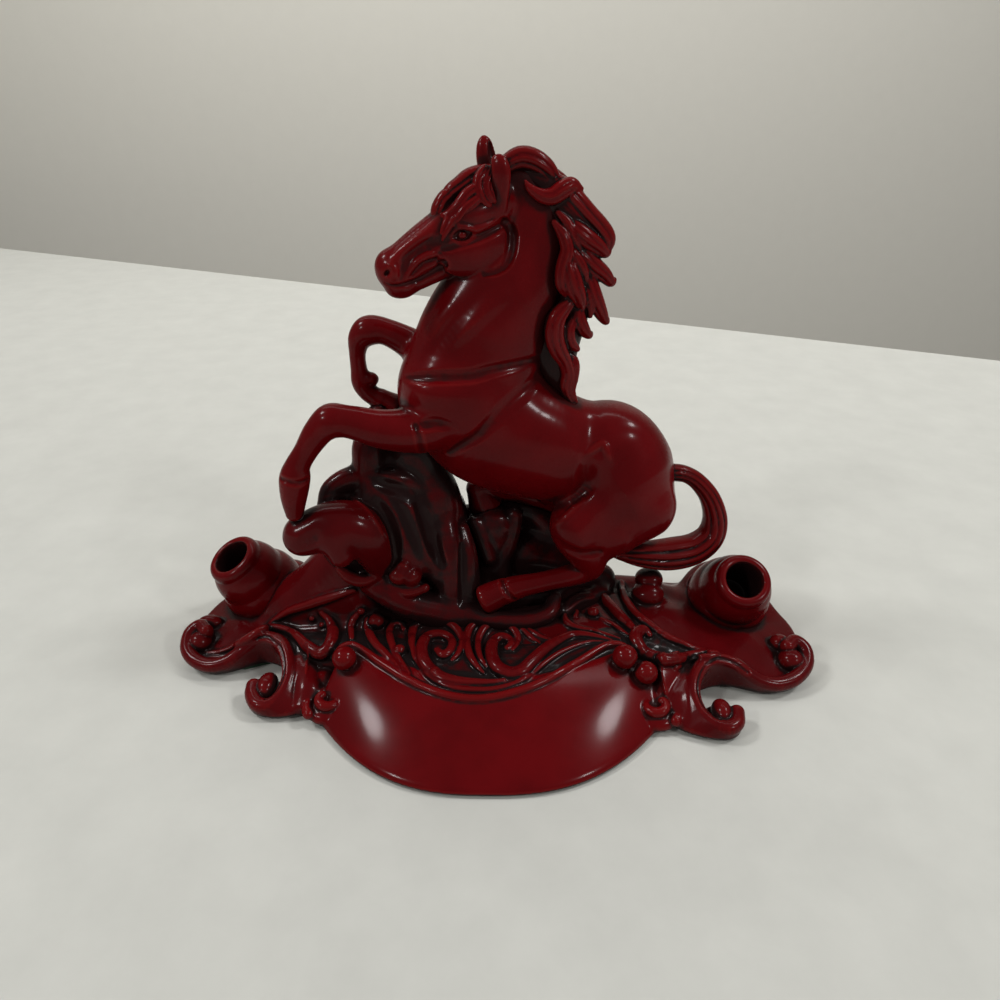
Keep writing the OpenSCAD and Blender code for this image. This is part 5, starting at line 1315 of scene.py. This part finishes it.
def make_castings():
    horse, stand = horse_forms, stand_forms
    # The trunk and head take painted shade near the mane and forelock.
    for name, form, low, high, step in (("trunk", "horse_body", (-36, 6, 42), (62, 52, 152), 0.5),
                                        ("head", "horse_head", (-34, 4, 108), (24, 44, 162), 0.34)):
        shared_piece(name, form, "horse_body", "horse_lacquer", horse, low, high, step, hair_shade)
    for name, node, low, high in (("near_foreleg", "left_foreleg", (-68, 0, 50), (-4, 28, 96)),
                                  ("far_foreleg", "right_foreleg", (-50, 24, 74), (-4, 48, 114)),
                                  ("near_hind_leg", "left_hind_leg", (-12, 4, 12), (62, 40, 80)),
                                  ("far_hind_leg", "right_hind_leg", (-14, 26, 32), (62, 54, 80))):
        shared_piece(name, node, node, "horse_lacquer", horse, low, high, 0.42)
    hair_piece("mane", "horse_mane", mane_form, (-8, 12, 80), (40, 46, 158), 0.4, mane_root_wash_and_shade)
    hair_piece("forelock", "horse_forelock", forelock_form, (-24, 10, 130), (8, 38, 156), 0.3)
    hair_piece("tail", "horse_tail", tail_form, (30, 14, 18), (84, 44, 66), 0.4)
    rock_piece((-78, -6, 0), (46, 54, 90), 0.6)
    for name, node, slot, low, high, step, soot_and_shade in (
            ("base", "base_casting", "base_lacquer", (-108, -28, -1), (108, 54, 50), 0.7, None),
            ("left_rim", "left_rim_scroll", "base_lacquer", (-108, -30, -1), (-44, 24, 22), 0.42, None),
            ("right_rim", "right_rim_scroll", "base_lacquer", (46, -30, -1), (108, 18, 18), 0.42, None),
            ("cartouche", "front_cartouche", "panel_lacquer", (-64, -52, -1), (64, 6, 24), 0.5, None),
            ("frieze", "scroll_frieze", "frieze_lacquer", (-90, -28, -1), (84, 40, 38), 0.45, frieze_bed_wash_and_shade)):
        shared_piece(name, node, node, slot, stand, low, high, step, soot_and_shade)
    for hand in ("left", "right"):
        cup_piece(hand + "_cup", hand + "_pen_cup")


# Finishes


def add_node(tree, kind, **values):
    node = tree.nodes.new(kind)
    for key, value in values.items():
        if key in node.inputs:
            node.inputs[key].default_value = value
        else:
            setattr(node, key, value)
    return node


def eased(tree, value, low, high):
    """A mask that rises from low to high of a value."""
    node = add_node(tree, "ShaderNodeMapRange", interpolation_type="SMOOTHSTEP")
    node.inputs["From Min"].default_value = low
    node.inputs["From Max"].default_value = high
    tree.links.new(value, node.inputs["Value"])
    return node.outputs["Result"]


def sum_of(tree, a, b, operation="ADD"):
    node = add_node(tree, "ShaderNodeMath", operation=operation)
    for socket, value in zip(node.inputs, (a, b)):
        if isinstance(value, (int, float)):
            socket.default_value = value
        else:
            tree.links.new(value, socket)
    return node.outputs["Value"]


def mixed(tree, share, a, b):
    node = add_node(tree, "ShaderNodeMix", data_type="RGBA")
    tree.links.new(share, node.inputs[0])
    tree.links.new(a, node.inputs[6])
    tree.links.new(b, node.inputs[7])
    return node.outputs[2]


def worn_and_shaded_lacquer_group():
    """Lacquer with a dark wash and painted shade in the recesses, and a rubbed tone with painted highlight on the
    ridges.
    """
    tree = bpy.data.node_groups.new("worn_and_shaded_lacquer", "ShaderNodeTree")
    for way, kind, names in (("INPUT", "NodeSocketColor", ("Lacquer", "Wash and shade", "Rub and highlight")),
                             ("INPUT", "NodeSocketFloat", ("Shade and wash share", "Highlight and rub share", "Gloss")),
                             ("OUTPUT", "NodeSocketColor", ("Colour",)),
                             ("OUTPUT", "NodeSocketFloat", ("Roughness", "Height"))):
        for name in names:
            tree.interface.new_socket(name, in_out=way, socket_type=kind)
    given = add_node(tree, "NodeGroupInput").outputs
    result = add_node(tree, "NodeGroupOutput").inputs
    place = add_node(tree, "ShaderNodeTexCoord").outputs["Object"]
    recess = add_node(tree, "ShaderNodeAttribute", attribute_name="recess").outputs["Fac"]
    ridge = add_node(tree, "ShaderNodeAttribute", attribute_name="ridge").outputs["Fac"]
    noises = []
    for scale, detail in ((70, 3), (420, 4), (1500, 2)):
        noise = add_node(tree, "ShaderNodeTexNoise", Scale=scale, Detail=detail)
        tree.links.new(place, noise.inputs["Vector"])
        noises.append(noise.outputs["Fac"])
    broad, patch, fine = noises
    uneven = sum_of(tree, sum_of(tree, patch, 0.5, "SUBTRACT"), 0.5, "MULTIPLY")
    cloud = sum_of(tree, sum_of(tree, broad, 0.5, "SUBTRACT"), 0.5, "MULTIPLY")
    # Painted shade: the wash follows the recess mark, which is built from how closed in each point is, so it paints
    # shade as well as the wash.
    wash_and_shade = eased(tree, sum_of(tree, sum_of(tree, recess, uneven), cloud), 0.3, 0.78)
    wash_and_shade = sum_of(tree, wash_and_shade, given["Shade and wash share"], "MULTIPLY")
    # Painted highlight: the rubbed tone lightens the convex ridges, as rubbed wear and as painted highlight.
    rub_and_highlight = eased(tree, sum_of(tree, ridge, uneven), 0.3, 0.8)
    rub_and_highlight = sum_of(tree, rub_and_highlight, given["Highlight and rub share"], "MULTIPLY")
    tone = eased(tree, broad, 0.3, 0.7)
    dark = add_node(tree, "ShaderNodeHueSaturation", Value=0.78)
    tree.links.new(given["Lacquer"], dark.inputs["Color"])
    colour = mixed(tree, tone, dark.outputs["Color"], given["Lacquer"])
    colour = mixed(tree, rub_and_highlight, colour, given["Rub and highlight"])
    colour = mixed(tree, wash_and_shade, colour, given["Wash and shade"])
    tree.links.new(colour, result["Colour"])
    dull = sum_of(tree, sum_of(tree, wash_and_shade, 0.1, "MULTIPLY"), sum_of(tree, patch, 0.08, "MULTIPLY"))
    tree.links.new(sum_of(tree, given["Gloss"], dull), result["Roughness"])
    tree.links.new(sum_of(tree, fine, sum_of(tree, patch, 0.6, "MULTIPLY")), result["Height"])
    return tree


WORN_AND_SHADED_LACQUER = worn_and_shaded_lacquer_group()


def new_material(name):
    material = bpy.data.materials.new(name)
    material.use_nodes = True
    return material, material.node_tree, material.node_tree.nodes["Principled BSDF"]


def speckle(tree, low, high, span=(0, 1), **grain):
    """A noise over the surface, and a colour that goes from low to high over a span of it."""
    noise = add_node(tree, "ShaderNodeTexNoise", **grain)
    tree.links.new(add_node(tree, "ShaderNodeTexCoord").outputs["Object"], noise.inputs["Vector"])
    ramp = add_node(tree, "ShaderNodeValToRGB")
    for stop, place, colour in zip(ramp.color_ramp.elements, span, (low, high)):
        stop.position, stop.color = place, (*colour, 1)
    tree.links.new(noise.outputs["Fac"], ramp.inputs["Fac"])
    return noise.outputs["Fac"], ramp.outputs["Color"]


def raise_relief(tree, shader, height, strength, distance):
    relief = add_node(tree, "ShaderNodeBump", Strength=strength, Distance=distance)
    tree.links.new(height, relief.inputs["Height"])
    tree.links.new(relief.outputs["Normal"], shader.inputs["Normal"])


def lacquer(name, colour, wash_and_shade, wash_and_shade_share, rub_and_highlight_share, gloss):
    material, tree, shader = new_material(name)
    worn_and_shaded = add_node(tree, "ShaderNodeGroup", node_tree=WORN_AND_SHADED_LACQUER)
    for key, value in (("Lacquer", (*colour, 1)), ("Wash and shade", (*wash_and_shade, 1)), ("Rub and highlight", (*RUBBED_AND_HIGHLIGHT, 1)),
                       ("Shade and wash share", wash_and_shade_share), ("Highlight and rub share", rub_and_highlight_share), ("Gloss", gloss)):
        worn_and_shaded.inputs[key].default_value = value
    tree.links.new(worn_and_shaded.outputs["Colour"], shader.inputs["Base Color"])
    tree.links.new(worn_and_shaded.outputs["Roughness"], shader.inputs["Roughness"])
    raise_relief(tree, shader, worn_and_shaded.outputs["Height"], 0.04, 0.0002)
    shader.inputs["Specular IOR Level"].default_value = 0.04
    shader.inputs["Coat Weight"].default_value = 0.17
    shader.inputs["Coat Roughness"].default_value = 0.13
    return material


# The wash colours darken the recesses as dark wash and painted shade; the rubbed colour lightens the ridges as rubbed
# wear and painted highlight.
CRIMSON = (0.115, 0.0016, 0.003)
DEEP_CRIMSON = (0.084, 0.0018, 0.003)
GREY_WASH_AND_SHADE = (0.0095, 0.006, 0.006)
BROWN_WASH_AND_SHADE = (0.013, 0.0045, 0.0045)
RUBBED_AND_HIGHLIGHT = (0.19, 0.008, 0.007)
LACQUERS = {name: lacquer(name, *values) for name, *values in (
    ("horse_lacquer", CRIMSON, BROWN_WASH_AND_SHADE, 0.75, 0.25, 0.24),
    ("hair_lacquer", CRIMSON, BROWN_WASH_AND_SHADE, 0.95, 0.3, 0.22),
    ("rock_lacquer", DEEP_CRIMSON, GREY_WASH_AND_SHADE, 0.9, 0.3, 0.22),
    ("base_lacquer", DEEP_CRIMSON, GREY_WASH_AND_SHADE, 0.9, 0.3, 0.22),
    ("panel_lacquer", CRIMSON, GREY_WASH_AND_SHADE, 0.8, 0.3, 0.2),
    ("frieze_lacquer", DEEP_CRIMSON, GREY_WASH_AND_SHADE, 1.0, 0.3, 0.22),
    ("cup_lacquer", CRIMSON, GREY_WASH_AND_SHADE, 0.9, 0.3, 0.22))}


def felt_material():
    material, tree, shader = new_material("felt")
    fibre, colour = speckle(tree, (0.008, 0.02, 0.012), (0.03, 0.075, 0.04), Scale=900, Detail=6, Roughness=0.7)
    tree.links.new(colour, shader.inputs["Base Color"])
    raise_relief(tree, shader, fibre, 0.6, 0.0003)
    shader.inputs["Roughness"].default_value = 0.95
    return material


def steel_material():
    material, tree, shader = new_material("pin_steel")
    drawn, colour = speckle(tree, (0.32, 0.32, 0.33), (0.55, 0.55, 0.56), Scale=700, Detail=3)
    tree.links.new(colour, shader.inputs["Base Color"])
    tree.links.new(eased(tree, drawn, -0.6, 1.6), shader.inputs["Roughness"])
    shader.inputs["Metallic"].default_value = 1
    return material


# Floor, wall and light

FLOOR_COLOUR = (0.60, 0.60, 0.555)
WALL_COLOUR = (0.61, 0.59, 0.525)
OBJECT_MIDDLE = (0, 0, 0.06)


def plain_sheet(name, corners, colour, mottle):
    """A flat sheet of the studio with a faint mottle."""
    mesh = bpy.data.meshes.new(name)
    mesh.from_pydata(corners, [], [(0, 1, 2, 3)])
    sheet = bpy.data.objects.new(name, mesh)
    bpy.context.scene.collection.objects.link(sheet)
    material, tree, shader = new_material(name)
    dark = [c * (1 - mottle) for c in colour]
    _, shade = speckle(tree, dark, colour, (0.3, 0.7), Scale=45, Detail=6, Roughness=0.6)
    tree.links.new(shade, shader.inputs["Base Color"])
    shader.inputs["Roughness"].default_value = 0.6
    mesh.materials.append(material)


def lamp(name, spot, aim, size, power):
    data = bpy.data.lights.new(name, "AREA")
    data.shape = "ELLIPSE"
    data.size, data.size_y = size
    data.energy = power
    light = bpy.data.objects.new(name, data)
    light.location = spot
    light.rotation_euler = (Vector(aim) - Vector(spot)).to_track_quat("-Z", "Y").to_euler()
    bpy.context.scene.collection.objects.link(light)


def make_studio():
    plain_sheet("floor", [(-1.5, -1.5, 0), (1.5, -1.5, 0), (1.5, -0.158, 0), (-1.5, 1.156, 0)], FLOOR_COLOUR, 0.08)
    plain_sheet("wall", [(-4, 1.2, -1.5), (4, 1.2, -1.5), (4, 1.2, 3), (-4, 1.2, 3)], WALL_COLOUR, 0.02)
    lamp("left_window", (-0.9, 0.02, 1.1), OBJECT_MIDDLE, (0.26, 0.26), 6)
    lamp("right_window", (0.88, 0.08, 1.13), OBJECT_MIDDLE, (0.26, 0.26), 6)
    lamp("left_spot", (-0.86, -0.66, 0.86), OBJECT_MIDDLE, (0.16, 0.16), 3.2)
    lamp("right_spot", (0.92, -0.62, 0.84), OBJECT_MIDDLE, (0.16, 0.16), 3.2)
    lamp("wall_light", (-0.1, 0.5, 0.95), (0.1, 1.2, 0.25), (1.8, 0.3), 7)
    world = bpy.data.worlds.new("studio")
    world.use_nodes = True
    sky = world.node_tree.nodes["Background"].inputs
    sky["Color"].default_value = (1, 0.985, 0.96, 1)
    sky["Strength"].default_value = 0.22
    bpy.context.scene.world = world
    bpy.context.scene.view_settings.view_transform = "Standard"


make_castings()
FELT, STEEL = felt_material(), steel_material()
for node in ("felt_pad", "foreleg_pins", "hind_leg_pin", "tail_pin", "hoof_pins", "rock_dowels"):
    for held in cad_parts[node].material_slots:
        held.material = FELT if node == "felt_pad" else STEEL
make_studio()
